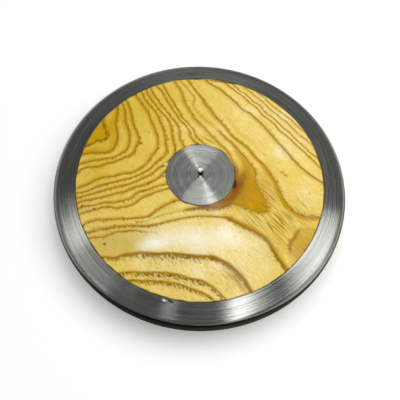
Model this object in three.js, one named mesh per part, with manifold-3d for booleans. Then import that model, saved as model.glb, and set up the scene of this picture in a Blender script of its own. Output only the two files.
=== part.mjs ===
// A 2 kg throwing discus: two turned hardwood sides in a steel rim, with steel centre plates.
// Millimetres, +Z up. The origin is the centre of the discus, which spins about +Z.

import * as THREE from 'three';
import { mergeVertices } from 'three/addons/utils/BufferGeometryUtils.js';
import Module from 'manifold-3d';

const wasm = await Module();
wasm.setup();

// Overall form
const RIM_RADIUS = 110;            // 220 mm across the rim
const EDGE_RADIUS = 6.25;          // the full round of the rim's edge
const HALF_THICKNESS = 22.5;       // from the middle plane to a centre plate's face
const SIDE_CROWN = 2.5;            // how far a side swells above a straight taper
const RIM_FACE_WIDTH = 17.5;       // steel that shows outside the wood

// Rim tongue, the web that lies between the two sides
const TONGUE_REACH = 8;
const TONGUE_THICKNESS = 3;
const TONGUE_BEVEL = 0.5;

// Glue lines
const WOOD_TO_RIM_GAP = 0.15;
const WOOD_TO_WOOD_GAP = 0.2;

// Countersunk centre screws, M6, their heads turned off level with the plates
const SCREW_RADIUS = 3;
const SCREW_LENGTH = 16;
const SCREW_TIP_BEVEL = 0.8;
const HEAD_RADIUS = 6.1;
const HEAD_LAND = 0.3;             // straight wall of the head above its cone
const HEAD_CONE_ANGLE = 90;        // degrees
const HEAD_SINK = 0.05;            // how far the head's face lies below the plate's
const HEAD_FIT_GAP = 0.08;
const SCREW_HOLE_GAP = 0.3;

// Cross recess in a head
const RECESS_SPAN = 6.4;
const RECESS_FLOOR_SPAN = 2.6;
const RECESS_WING = 1.5;
const RECESS_FLOOR_WING = 0.9;
const RECESS_CORE_RADIUS = 1.65;   // round core that softens the corners between the wings
const RECESS_DEPTH = 2.7;
const RECESS_POINT = 0.7;          // cone below the wings, where the driver's tip goes
const UPPER_RECESS_ANGLE = 48;     // degrees from +X
const LOWER_RECESS_ANGLE = 17;

// Centre plates
const PLATE_RADIUS = 25;
const PLATE_WEB = 0.3;             // steel left below the countersink
const PLATE_BEVEL = 0.4;
const PLATE_STAND = 0.5;           // how far a plate's face stands above the wood beside it
const PLATE_FIT_GAP = 0.2;
const PLATE_SEAT_GAP = 0.1;
const WOOD_FLAT_WIDTH = 1.3;       // flat ring of wood around the plate
const WOOD_EDGE_BEVEL = 0.3;

// Threaded sleeve that both screws pull on
const SLEEVE_RADIUS = 7.5;
const SLEEVE_BEVEL = 0.6;
const SLEEVE_END_GAP = 0.4;
const SLEEVE_BORE_GAP = 0.15;
const SLEEVE_FIT_GAP = 0.25;
const SLEEVE_MOUTH = 0.7;          // countersink at each end of the bore

// Trim washers that bring the discus up to its weight
const WASHERS_PER_SIDE = 2;
const WASHER_RADIUS = 18;
const WASHER_THICKNESS = 0.8;
const WASHER_GAP = 0.1;
const WASHER_FIT_GAP = 0.3;

// Key pins that stop the rim turning on the wood
const PIN_COUNT = 6;
const PIN_RADIUS = 1.5;
const PIN_LENGTH = 12;
const PIN_BEVEL = 0.3;
const PIN_FIT_GAP = 0.12;
const PIN_END_GAP = 0.4;

// Facets
const RIM_FACETS = 88;
const PLATE_FACETS = 44;
const SCREW_FACETS = 24;
const RECESS_CORE_FACETS = 12;
const PIN_FACETS = 12;
const EDGE_STEPS = 10;
const RIM_FACE_STEPS = 2;
const WOOD_FACE_STEPS = 5;

const CUT_OVERRUN = 1;             // how far a cutting tool runs past the face it enters
const FULL_TURN = 2 * Math.PI;

// A cone's depth between two of its radii
function coneDepth(wideRadius, narrowRadius) {
  return (wideRadius - narrowRadius) / Math.tan(THREE.MathUtils.degToRad(HEAD_CONE_ANGLE / 2));
}

// Sizes that follow from those above
const countersinkRadius = HEAD_RADIUS + HEAD_FIT_GAP;
const screwHole = SCREW_RADIUS + SCREW_HOLE_GAP;
const countersinkDepth = HEAD_LAND + coneDepth(countersinkRadius, screwHole);
const plateSeat = HALF_THICKNESS - countersinkDepth - PLATE_WEB;
const plateRecess = PLATE_RADIUS + PLATE_FIT_GAP;
const woodFlat = HALF_THICKNESS - PLATE_STAND;
const woodRadius = RIM_RADIUS - RIM_FACE_WIDTH;
const taperStart = plateRecess + WOOD_FLAT_WIDTH;
const tongueInner = woodRadius - TONGUE_REACH;
const tongueTop = TONGUE_THICKNESS / 2;
const sleeveHole = SLEEVE_RADIUS + SLEEVE_FIT_GAP;
const washerPocketFloor = plateSeat - PLATE_SEAT_GAP - WASHERS_PER_SIDE * (WASHER_THICKNESS + WASHER_GAP);
const pinCircle = (woodRadius + tongueInner) / 2;
const pinAngles = Array.from({ length: PIN_COUNT }, (_, i) => i * FULL_TURN / PIN_COUNT);

// The point where a straight line from a point runs into the round of the edge without a corner.
function touchEdgeRound(from) {
  const centre = new THREE.Vector2(RIM_RADIUS - EDGE_RADIUS, 0);
  const toPoint = from.clone().sub(centre);
  const angle = toPoint.angle() - Math.acos(EDGE_RADIUS / toPoint.length());
  return new THREE.Vector2(Math.cos(angle), Math.sin(angle)).multiplyScalar(EDGE_RADIUS).add(centre);
}

// A side's section in radius and height: a crowned taper from the flat beside the plate to the edge.
function makeSideCurve() {
  const start = new THREE.Vector2(taperStart, woodFlat);
  const control = start.clone().lerp(touchEdgeRound(start), 0.5);
  control.y += 2 * SIDE_CROWN;
  return new THREE.QuadraticBezierCurve(start, control, touchEdgeRound(control));
}

const sideCurve = makeSideCurve();
const shoulder = sideCurve.v2;

// Height of a side's surface at a radius, where the curve's quadratic in t reaches that radius.
function sideHeight(radius) {
  const { v0, v1, v2 } = sideCurve;
  const bend = v0.x - 2 * v1.x + v2.x;
  const pace = v1.x - v0.x;
  const ahead = radius - v0.x;
  return sideCurve.getPoint(ahead / (pace + Math.sqrt(pace ** 2 + bend * ahead))).y;
}

// Points of a side's surface from one radius to another, both ends included.
function sidePoints(fromRadius, toRadius, steps) {
  return Array.from({ length: steps + 1 }, (_, i) => {
    const radius = THREE.MathUtils.lerp(fromRadius, toRadius, i / steps);
    return [radius, sideHeight(radius)];
  });
}

// Revolves a section of [radius, height] points about +Z.
function revolve(section, facets) {
  const points = section.map(([radius, height]) => new THREE.Vector2(radius, height));
  return new THREE.LatheGeometry(points, facets).rotateX(Math.PI / 2);
}

// Revolves a section that goes round a hole and so closes on its own first point.
function revolveRing(section, facets) {
  return revolve([...section, section[0]], facets);
}

function toSolid(geometry) {
  const bare = geometry.clone().deleteAttribute('normal').deleteAttribute('uv');
  const merged = mergeVertices(bare);
  return new wasm.Manifold(new wasm.Mesh({
    numProp: 3,
    vertProperties: merged.attributes.position.array,
    triVerts: new Uint32Array(merged.index.array),
  }));
}

function toGeometry(solid) {
  const mesh = solid.getMesh();
  const indexed = new THREE.BufferGeometry();
  indexed.setAttribute('position', new THREE.BufferAttribute(mesh.vertProperties, 3));
  indexed.setIndex(new THREE.BufferAttribute(mesh.triVerts, 1));
  const faceted = indexed.toNonIndexed();
  faceted.computeVertexNormals();
  return faceted;
}

function cut(geometry, tools) {
  return toGeometry(tools.map(toSolid).reduce((left, tool) => left.subtract(tool), toSolid(geometry)));
}

// One drill for each key pin, from a lower to an upper height.
function makePinDrills(bottom, top) {
  const radius = PIN_RADIUS + PIN_FIT_GAP;
  return pinAngles.map((angle) => (
    new THREE.CylinderGeometry(radius, radius, top - bottom, PIN_FACETS)
      .rotateX(Math.PI / 2)
      .translate(pinCircle * Math.cos(angle), pinCircle * Math.sin(angle), (bottom + top) / 2)
  ));
}

// Steel rim: a round edge, crowned faces, a straight wall for the wood and the tongue between the sides.
function makeRim() {
  const edgeCentre = RIM_RADIUS - EDGE_RADIUS;
  const edgeEnd = Math.atan2(shoulder.y, shoulder.x - edgeCentre);
  const edge = Array.from({ length: EDGE_STEPS + 1 }, (_, i) => {
    const angle = THREE.MathUtils.lerp(-edgeEnd, edgeEnd, i / EDGE_STEPS);
    return [edgeCentre + EDGE_RADIUS * Math.cos(angle), EDGE_RADIUS * Math.sin(angle)];
  });
  const upperFace = sidePoints(shoulder.x, woodRadius, RIM_FACE_STEPS).slice(1);
  const lowerFace = upperFace.map(([radius, height]) => [radius, -height]).reverse();
  const tongue = [
    [woodRadius, tongueTop],
    [tongueInner + TONGUE_BEVEL, tongueTop],
    [tongueInner, tongueTop - TONGUE_BEVEL],
    [tongueInner, TONGUE_BEVEL - tongueTop],
    [tongueInner + TONGUE_BEVEL, -tongueTop],
    [woodRadius, -tongueTop],
  ];
  const blank = revolveRing([...edge, ...upperFace, ...tongue, ...lowerFace], RIM_FACETS);
  return cut(blank, makePinDrills(-tongueTop - CUT_OVERRUN, tongueTop + CUT_OVERRUN));
}

// Upper wooden side: a spigot inside the tongue, a ledge on it, the crowned face and the centre recesses.
function makeSide() {
  const base = WOOD_TO_WOOD_GAP / 2;
  const ledge = tongueTop + WOOD_TO_RIM_GAP;
  const wall = woodRadius - WOOD_TO_RIM_GAP;
  const spigot = tongueInner - WOOD_TO_RIM_GAP;
  const recessFloor = plateSeat - PLATE_SEAT_GAP;
  const pocket = WASHER_RADIUS + WASHER_FIT_GAP;
  const blank = revolveRing([
    [sleeveHole, base],
    [spigot, base],
    [spigot, ledge],
    [wall, ledge],
    [wall, sideHeight(wall) - WOOD_EDGE_BEVEL],
    ...sidePoints(wall - WOOD_EDGE_BEVEL, taperStart, WOOD_FACE_STEPS),
    [plateRecess, woodFlat],
    [plateRecess, recessFloor],
    [pocket, recessFloor],
    [pocket, washerPocketFloor],
    [sleeveHole, washerPocketFloor],
  ], RIM_FACETS);
  return cut(blank, makePinDrills(ledge - CUT_OVERRUN, PIN_LENGTH / 2 + PIN_END_GAP));
}

// Upper centre plate with its bevelled edge and its countersunk hole.
function makePlate() {
  return revolveRing([
    [screwHole, plateSeat],
    [PLATE_RADIUS - PLATE_BEVEL, plateSeat],
    [PLATE_RADIUS, plateSeat + PLATE_BEVEL],
    [PLATE_RADIUS, HALF_THICKNESS - PLATE_BEVEL],
    [PLATE_RADIUS - PLATE_BEVEL, HALF_THICKNESS],
    [countersinkRadius, HALF_THICKNESS],
    [countersinkRadius, HALF_THICKNESS - HEAD_LAND],
    [screwHole, HALF_THICKNESS - countersinkDepth],
  ], PLATE_FACETS);
}

// One pair of wings of the cross recess: a bar whose ends and cheeks draw in towards the floor.
function makeRecessWings(angle) {
  const bar = new THREE.BoxGeometry(1, 1, 1);
  const corners = bar.attributes.position;
  for (let i = 0; i < corners.count; i += 1) {
    const depth = corners.getZ(i) > 0 ? -CUT_OVERRUN : RECESS_DEPTH;
    const fall = depth / RECESS_DEPTH;
    corners.setX(i, corners.getX(i) * THREE.MathUtils.lerp(RECESS_SPAN, RECESS_FLOOR_SPAN, fall));
    corners.setY(i, corners.getY(i) * THREE.MathUtils.lerp(RECESS_WING, RECESS_FLOOR_WING, fall));
    corners.setZ(i, HALF_THICKNESS - HEAD_SINK - depth);
  }
  return bar.rotateZ(angle);
}

// The recess's round core, which ends in a cone for the driver's tip.
function makeRecessCore() {
  const floor = HALF_THICKNESS - HEAD_SINK - RECESS_DEPTH;
  return revolve([
    [0, floor - RECESS_POINT],
    [RECESS_FLOOR_SPAN / 2, floor],
    [RECESS_CORE_RADIUS, HALF_THICKNESS + CUT_OVERRUN],
    [0, HALF_THICKNESS + CUT_OVERRUN],
  ], RECESS_CORE_FACETS);
}

// Upper centre screw: a countersunk head faced off level, its cross recess and a bevelled tip.
function makeScrew(recessAngle) {
  const face = HALF_THICKNESS - HEAD_SINK;
  const coneTop = HALF_THICKNESS - HEAD_LAND;
  const tip = face - SCREW_LENGTH;
  const blank = revolve([
    [0, tip],
    [SCREW_RADIUS - SCREW_TIP_BEVEL, tip],
    [SCREW_RADIUS, tip + SCREW_TIP_BEVEL],
    [SCREW_RADIUS, coneTop - coneDepth(HEAD_RADIUS, SCREW_RADIUS)],
    [HEAD_RADIUS, coneTop],
    [HEAD_RADIUS, face],
    [0, face],
  ], SCREW_FACETS);
  const wings = [recessAngle, recessAngle + Math.PI / 2].map(makeRecessWings);
  return cut(blank, [...wings, makeRecessCore()]);
}

// Threaded sleeve through the middle of both sides.
function makeSleeve() {
  const end = plateSeat - SLEEVE_END_GAP;
  const bore = SCREW_RADIUS + SLEEVE_BORE_GAP;
  return revolveRing([
    [SLEEVE_RADIUS - SLEEVE_BEVEL, -end],
    [SLEEVE_RADIUS, SLEEVE_BEVEL - end],
    [SLEEVE_RADIUS, end - SLEEVE_BEVEL],
    [SLEEVE_RADIUS - SLEEVE_BEVEL, end],
    [bore + SLEEVE_MOUTH, end],
    [bore, end - SLEEVE_MOUTH],
    [bore, SLEEVE_MOUTH - end],
    [bore + SLEEVE_MOUTH, -end],
  ], SCREW_FACETS);
}

// Flat trim washer under the upper plate, counted from the pocket's floor.
function makeWasher(index) {
  const bottom = washerPocketFloor + WASHER_GAP + index * (WASHER_THICKNESS + WASHER_GAP);
  const top = bottom + WASHER_THICKNESS;
  return revolveRing([
    [sleeveHole, bottom],
    [WASHER_RADIUS, bottom],
    [WASHER_RADIUS, top],
    [sleeveHole, top],
  ], PLATE_FACETS);
}

// Steel key pin, bevelled at both ends.
function makePin() {
  const end = PIN_LENGTH / 2;
  return revolve([
    [0, -end],
    [PIN_RADIUS - PIN_BEVEL, -end],
    [PIN_RADIUS, PIN_BEVEL - end],
    [PIN_RADIUS, end - PIN_BEVEL],
    [PIN_RADIUS - PIN_BEVEL, end],
    [0, end],
  ], PIN_FACETS);
}

const rimSteel = new THREE.MeshStandardMaterial({ color: 0x8d8f8e, roughness: 0.32, metalness: 1 });
const plateSteel = new THREE.MeshStandardMaterial({ color: 0xa3a5a2, roughness: 0.3, metalness: 1 });
const screwSteel = new THREE.MeshStandardMaterial({ color: 0x9b9d9b, roughness: 0.35, metalness: 1 });
const innerSteel = new THREE.MeshStandardMaterial({ color: 0x7c7e80, roughness: 0.5, metalness: 1 });
const varnishedWood = new THREE.MeshStandardMaterial({ color: 0xd9bb5c, roughness: 0.3, metalness: 0 });

function addPiece(group, name, geometry, material) {
  const piece = new THREE.Mesh(geometry, material);
  piece.name = name;
  group.add(piece);
  return piece;
}

// What one side of the discus carries, built as the upper side.
function makeSideGroup(label, recessAngle) {
  const group = new THREE.Group();
  addPiece(group, `${label}_side`, makeSide(), varnishedWood);
  addPiece(group, `${label}_centre_plate`, makePlate(), plateSteel);
  addPiece(group, `${label}_centre_screw`, makeScrew(THREE.MathUtils.degToRad(recessAngle)), screwSteel);
  for (let i = 0; i < WASHERS_PER_SIDE; i += 1) {
    addPiece(group, `${label}_trim_washer_${i + 1}`, makeWasher(i), innerSteel);
  }
  return group;
}

const discus = new THREE.Group();
addPiece(discus, 'rim', makeRim(), rimSteel);
discus.add(makeSideGroup('upper', UPPER_RECESS_ANGLE));

// The lower side is the same assembly turned over about +X.
const lowerSide = makeSideGroup('lower', LOWER_RECESS_ANGLE);
lowerSide.rotation.x = Math.PI;
discus.add(lowerSide);

addPiece(discus, 'centre_sleeve', makeSleeve(), innerSteel);
pinAngles.forEach((angle, i) => {
  const pin = addPiece(discus, `rim_key_pin_${i + 1}`, makePin(), innerSteel);
  pin.position.set(pinCircle * Math.cos(angle), pinCircle * Math.sin(angle), 0);
});

export default discus;
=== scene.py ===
"""Looks of a 2 kg throwing discus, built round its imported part.

The wooden sides, the rim, the centre plates and the centre screws are modelled again as finely turned pieces,
each in the place of the CAD node that it stands for. The inner fittings keep their CAD meshes and get a steel
finish. The frame is in metres with +Z along the spin axis. Sizes and points in this file are in millimetres,
unless a comment gives another unit.
"""

import logging
import math
from dataclasses import dataclass
from enum import Enum

import bpy
import numpy as np
from mathutils import Matrix, Vector


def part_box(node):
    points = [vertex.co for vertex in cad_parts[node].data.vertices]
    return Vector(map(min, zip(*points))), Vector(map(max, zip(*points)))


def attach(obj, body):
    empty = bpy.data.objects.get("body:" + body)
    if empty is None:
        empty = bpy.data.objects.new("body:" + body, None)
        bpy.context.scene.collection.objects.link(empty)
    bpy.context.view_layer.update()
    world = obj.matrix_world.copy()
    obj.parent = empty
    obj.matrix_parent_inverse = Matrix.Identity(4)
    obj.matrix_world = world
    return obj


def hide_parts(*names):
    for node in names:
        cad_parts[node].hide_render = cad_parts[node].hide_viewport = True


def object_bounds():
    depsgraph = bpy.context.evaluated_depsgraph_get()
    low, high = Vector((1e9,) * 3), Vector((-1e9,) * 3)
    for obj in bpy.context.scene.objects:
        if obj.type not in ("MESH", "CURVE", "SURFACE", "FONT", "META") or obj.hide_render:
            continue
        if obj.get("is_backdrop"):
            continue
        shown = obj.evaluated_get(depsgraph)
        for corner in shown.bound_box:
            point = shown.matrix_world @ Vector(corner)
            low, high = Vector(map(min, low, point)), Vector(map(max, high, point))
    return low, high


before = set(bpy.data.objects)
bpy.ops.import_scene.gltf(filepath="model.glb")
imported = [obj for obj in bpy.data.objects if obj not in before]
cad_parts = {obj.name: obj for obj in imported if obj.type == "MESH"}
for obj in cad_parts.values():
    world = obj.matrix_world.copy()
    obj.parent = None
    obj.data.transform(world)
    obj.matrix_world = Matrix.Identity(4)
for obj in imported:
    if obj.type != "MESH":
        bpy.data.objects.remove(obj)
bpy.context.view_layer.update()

LOG = logging.getLogger("discus")
BODY = "root"
MM = 0.001                       # metres in a millimetre
QUARTER_TURN = math.pi / 2
HALF_TURN = math.pi
FULL_TURN = 2 * math.pi
MERGE_DISTANCE = 0.001           # mm
SEED_SIZE = 0.1                  # mm; the small plane that a turned section starts from
SMOOTH_ANGLE = math.radians(28)

Point = tuple[float, float]
Piece = bpy.types.Object
Material = bpy.types.Material
Tree = bpy.types.NodeTree
Socket = bpy.types.NodeSocket

ALL_ROUND: Point = (-2.0, -1.5)  # a range of how far forward a place faces that every place is past


class Face(Enum):
    """The two faces of the discus; the lower one is the upper one turned over about +X."""

    UPPER = "upper"
    LOWER = "lower"


class Stretch(Enum):
    """How fast a value's weight falls with distance where values are blended, as a power."""

    NEAR = 4.0
    WIDE = 2.0


def linear(colour: str) -> tuple[float, float, float, float]:
    """Turns an sRGB hex colour to linear light.

    Args:
        colour: Six hex digits after a hash.

    Returns:
        Linear red, green and blue, and an alpha of one.
    """
    channels = [int(colour[i:i + 2], 16) / 255 for i in (1, 3, 5)]
    red, green, blue = (c / 12.92 if c <= 0.04045 else ((c + 0.055) / 1.055) ** 2.4 for c in channels)
    return red, green, blue, 1.0


def add_node(tree: Tree, kind: str, inputs: dict | None = None, **settings: object) -> bpy.types.Node:
    """Adds a shader node with its settings, values and links.

    Args:
        tree: Tree that gets the node.
        kind: Node type without Blender's ShaderNode prefix.
        inputs: A value or another node's output for each input, by name or number.
        settings: The node's own settings.

    Returns:
        The node.
    """
    node = tree.nodes.new("ShaderNode" + kind)
    for name, value in settings.items():
        setattr(node, name, value)
    for name, value in (inputs or {}).items():
        if isinstance(value, Socket):
            tree.links.new(value, node.inputs[name])
        else:
            node.inputs[name].default_value = value
    return node


def new_material(name: str) -> tuple[Material, Tree]:
    """Makes a material with an empty node tree.

    Args:
        name: The material's name.

    Returns:
        The material and its tree.
    """
    material = bpy.data.materials.new(name)
    material.use_nodes = True
    material.node_tree.nodes.clear()
    return material, material.node_tree


def deselect_all() -> None:
    """Leaves nothing selected and no object active."""
    bpy.ops.object.select_all(action="DESELECT")
    bpy.context.view_layer.objects.active = None


def turn_section(name: str, section: list[Point], steps: int) -> Piece:
    """Turns a solid, as on a lathe, from its section.

    Args:
        name: The piece's name.
        section: Radius and height of the section's corners. It closes on itself, through the axis or round a
            hole.
        steps: Facets in a full turn.

    Returns:
        The turned piece, with its origin on the frame's.
    """
    deselect_all()
    start = section[0]
    bpy.ops.mesh.primitive_plane_add(size=SEED_SIZE * MM, location=(start[0] * MM, 0, start[1] * MM))
    piece = bpy.context.object
    piece.name = piece.data.name = name
    bpy.ops.object.transform_apply(location=True, rotation=True, scale=True)
    bpy.ops.object.mode_set(mode="EDIT")
    bpy.ops.mesh.select_all(action="SELECT")
    bpy.ops.mesh.merge(type="CENTER")
    on_axis = min(radius for radius, _ in section) < MERGE_DISTANCE
    corners = section[1:] if on_axis else section[1:] + section[:1]
    for corner in corners:
        move = ((corner[0] - start[0]) * MM, 0, (corner[1] - start[1]) * MM)
        bpy.ops.mesh.extrude_region_move(TRANSFORM_OT_translate={"value": move})
        start = corner
    bpy.ops.object.mode_set(mode="OBJECT")
    turn = piece.modifiers.new("turn", "SCREW")
    turn.axis = "Z"
    turn.angle = FULL_TURN
    turn.steps = turn.render_steps = steps
    bpy.ops.object.modifier_apply(modifier=turn.name)
    bpy.ops.object.mode_set(mode="EDIT")
    tidy_shell()
    return piece


def tidy_shell() -> None:
    """Merges doubled points in edit mode, points the faces outwards, and smooths all but the corners."""
    bpy.ops.mesh.select_all(action="SELECT")
    bpy.ops.mesh.remove_doubles(threshold=MERGE_DISTANCE * MM)
    bpy.ops.mesh.normals_make_consistent(inside=False)
    bpy.ops.object.mode_set(mode="OBJECT")
    bpy.ops.object.shade_smooth_by_angle(angle=SMOOTH_ANGLE)


def join_pieces(pieces: list[Piece]) -> Piece:
    """Joins pieces into the first of them.

    Args:
        pieces: Mesh pieces.

    Returns:
        The joined piece.
    """
    deselect_all()
    for piece in pieces:
        piece.select_set(True)
    bpy.context.view_layer.objects.active = pieces[0]
    bpy.ops.object.join()
    return pieces[0]


def cut_away(piece: Piece, tools: list[Piece]) -> None:
    """Cuts tool shapes out of a piece and deletes the tools.

    Args:
        piece: The piece that is cut.
        tools: Closed shapes, each of which is one tool or several that don't touch.
    """
    for tool in tools:
        deselect_all()
        bpy.context.view_layer.objects.active = piece
        piece.select_set(True)
        modifier = piece.modifiers.new("cut", "BOOLEAN")
        modifier.operation = "DIFFERENCE"
        modifier.solver = "EXACT"
        modifier.object = tool
        bpy.ops.object.modifier_apply(modifier=modifier.name)
        bpy.data.objects.remove(tool)
    bpy.ops.object.shade_smooth_by_angle(angle=SMOOTH_ANGLE)


def turn_over(piece: Piece) -> None:
    """Turns a piece built for the upper face over about +X, to the lower face.

    Args:
        piece: The piece.
    """
    deselect_all()
    piece.select_set(True)
    bpy.context.view_layer.objects.active = piece
    bpy.ops.object.mode_set(mode="EDIT")
    bpy.ops.mesh.select_all(action="SELECT")
    bpy.ops.transform.rotate(value=HALF_TURN, orient_axis="X", center_override=(0, 0, 0))
    bpy.ops.object.mode_set(mode="OBJECT")


def place_points(piece: Piece) -> np.ndarray:
    """Reads a piece's points.

    Args:
        piece: A mesh piece.

    Returns:
        One row of x, y and z in millimetres for each point.
    """
    flat = np.empty(len(piece.data.vertices) * 3)
    piece.data.vertices.foreach_get("co", flat)
    return flat.reshape(-1, 3) / MM


def move_points(piece: Piece, points: np.ndarray) -> None:
    """Writes a piece's points, given as millimetres, back to its mesh."""
    piece.data.vertices.foreach_set("co", (points * MM).ravel())
    piece.data.update()


@dataclass(frozen=True)
class DiscusForm:
    """Sizes that the rim and both sides share, in millimetres."""

    rim_radius: float
    half_thickness: float
    wood_radius: float
    edge_radius: float = 6.25
    crown: float = 2.5
    wood_gap: float = 0.15
    plate_recess: float = 25.2
    flat_width: float = 1.3
    plate_stand: float = 0.5
    tongue_reach: float = 8.0
    tongue_half: float = 1.5
    pin_count: int = 6
    pin_radius: float = 1.62
    drill_steps: int = 32
    turn_steps: int = 480

    @classmethod
    def from_frame(cls) -> "DiscusForm":
        """Reads the form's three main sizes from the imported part.

        Returns:
            The form.
        """
        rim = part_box("rim")[1]
        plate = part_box("upper_centre_plate")[1]
        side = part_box("upper_side")[1]
        return cls(rim.x / MM, plate.z / MM, side.x / MM + cls.wood_gap)

    @property
    def edge_centre(self) -> float:
        """Radius on which the round of the edge is centred."""
        return self.rim_radius - self.edge_radius

    @property
    def taper_start(self) -> float:
        """Radius where the flat beside the plate ends."""
        return self.plate_recess + self.flat_width

    @property
    def wood_flat(self) -> float:
        """Height of the flat ring of wood beside the plate."""
        return self.half_thickness - self.plate_stand

    @property
    def pin_circle(self) -> float:
        """Radius on which the key pins stand."""
        return self.wood_radius - self.tongue_reach / 2

    def touch_edge(self, start: Point) -> Point:
        """Finds where a straight line from a point runs into the round of the edge.

        Args:
            start: Radius and height where the line starts.

        Returns:
            Radius and height of the point of contact.
        """
        across, up = start[0] - self.edge_centre, start[1]
        angle = math.atan2(up, across) - math.acos(self.edge_radius / math.hypot(across, up))
        return self.edge_centre + self.edge_radius * math.cos(angle), self.edge_radius * math.sin(angle)

    def side_curve(self) -> tuple[Point, Point, Point]:
        """Draws the crowned taper of a face as a quadratic curve.

        Returns:
            The curve's start, its control point and its end on the round of the edge.
        """
        start = (self.taper_start, self.wood_flat)
        touch = self.touch_edge(start)
        control = ((start[0] + touch[0]) / 2, (start[1] + touch[1]) / 2 + 2 * self.crown)
        return start, control, self.touch_edge(control)

    def height(self, radius: float) -> float:
        """Gives the height of a face at a radius between the plate and the round of the edge.

        Args:
            radius: Distance from the spin axis.

        Returns:
            Height above the middle plane.
        """
        first, control, last = self.side_curve()
        bend = first[0] - 2 * control[0] + last[0]
        pace = control[0] - first[0]
        ahead = radius - first[0]
        t = ahead / (pace + math.sqrt(pace ** 2 + bend * ahead))
        return (1 - t) ** 2 * first[1] + 2 * t * (1 - t) * control[1] + t ** 2 * last[1]

    def face_points(self, start: float, end: float, steps: int) -> list[Point]:
        """Lists points of a face between two radii, both ends included."""
        radii = np.linspace(start, end, steps + 1)
        return [(float(r), self.height(float(r))) for r in radii]

    def pin_drills(self, bottom: float, top: float) -> Piece:
        """Makes a drill for each key pin.

        Args:
            bottom: Height where the drills start.
            top: Height where they end.

        Returns:
            The drills, joined.
        """
        drills = []
        for i in range(self.pin_count):
            angle = i * FULL_TURN / self.pin_count
            centre = Vector((math.cos(angle), math.sin(angle), 0)) * self.pin_circle * MM
            centre.z = (bottom + top) / 2 * MM
            deselect_all()
            bpy.ops.mesh.primitive_cylinder_add(
                vertices=self.drill_steps, radius=self.pin_radius * MM, depth=(top - bottom) * MM,
                location=centre)
            drills.append(bpy.context.object)
        return join_pieces(drills)


RAGGED_SCALE = 0.9               # waves in a millimetre round the edge of a mark
RAGGED_REACH = 1.2               # how far they carry it, in half widths of the mark
RAGGED_EDGE = 1.6                # the oval's edge and half that reach, as the noise is 0.5 on average


@dataclass(frozen=True)
class Mark:
    """A stain, knot speck, scratch or worn spot, or a painted highlight, shadow or shade: an oval of its own
    colour.
    """

    centre: Point
    length: float
    width: float
    angle: float
    colour: str
    strength: float = 0.8
    softness: float = 0.5
    level: float = 0.0               # mm above the middle plane
    depth: float = 2000.0            # mm through the piece


def lay_marks(tree: Tree, size: Socket, colour: Socket, marks: tuple[Mark, ...]) -> Socket:
    """Lays marks with ragged edges over a finish's colour.

    Args:
        tree: The finish's tree.
        size: The place in millimetres.
        colour: The colour below.
        marks: The marks, the last on top.

    Returns:
        The colour with the marks.
    """
    ragged = add_node(tree, "TexNoise", {"Vector": size, "Scale": RAGGED_SCALE, "Detail": 2.0}).outputs[0]
    for mark in marks:
        local = add_node(tree, "Mapping", {
            "Vector": size, "Location": (*mark.centre, mark.level),
            "Rotation": (0, 0, math.radians(mark.angle)),
            "Scale": (mark.length / 2, mark.width / 2, mark.depth / 2)}, vector_type="TEXTURE").outputs[0]
        away = add_node(tree, "VectorMath", {0: local}, operation="LENGTH").outputs["Value"]
        uneven = add_node(tree, "Math", {0: ragged, 1: RAGGED_REACH, 2: away},
                          operation="MULTIPLY_ADD").outputs[0]
        cover = add_node(tree, "MapRange", {
            "Value": uneven, "From Min": RAGGED_EDGE - mark.softness, "From Max": RAGGED_EDGE + mark.softness,
            "To Min": mark.strength, "To Max": 0.0}, interpolation_type="SMOOTHSTEP").outputs[0]
        colour = add_node(tree, "Mix", {0: cover, 6: colour, 7: linear(mark.colour)},
                          data_type="RGBA").outputs[2]
    return colour


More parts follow.
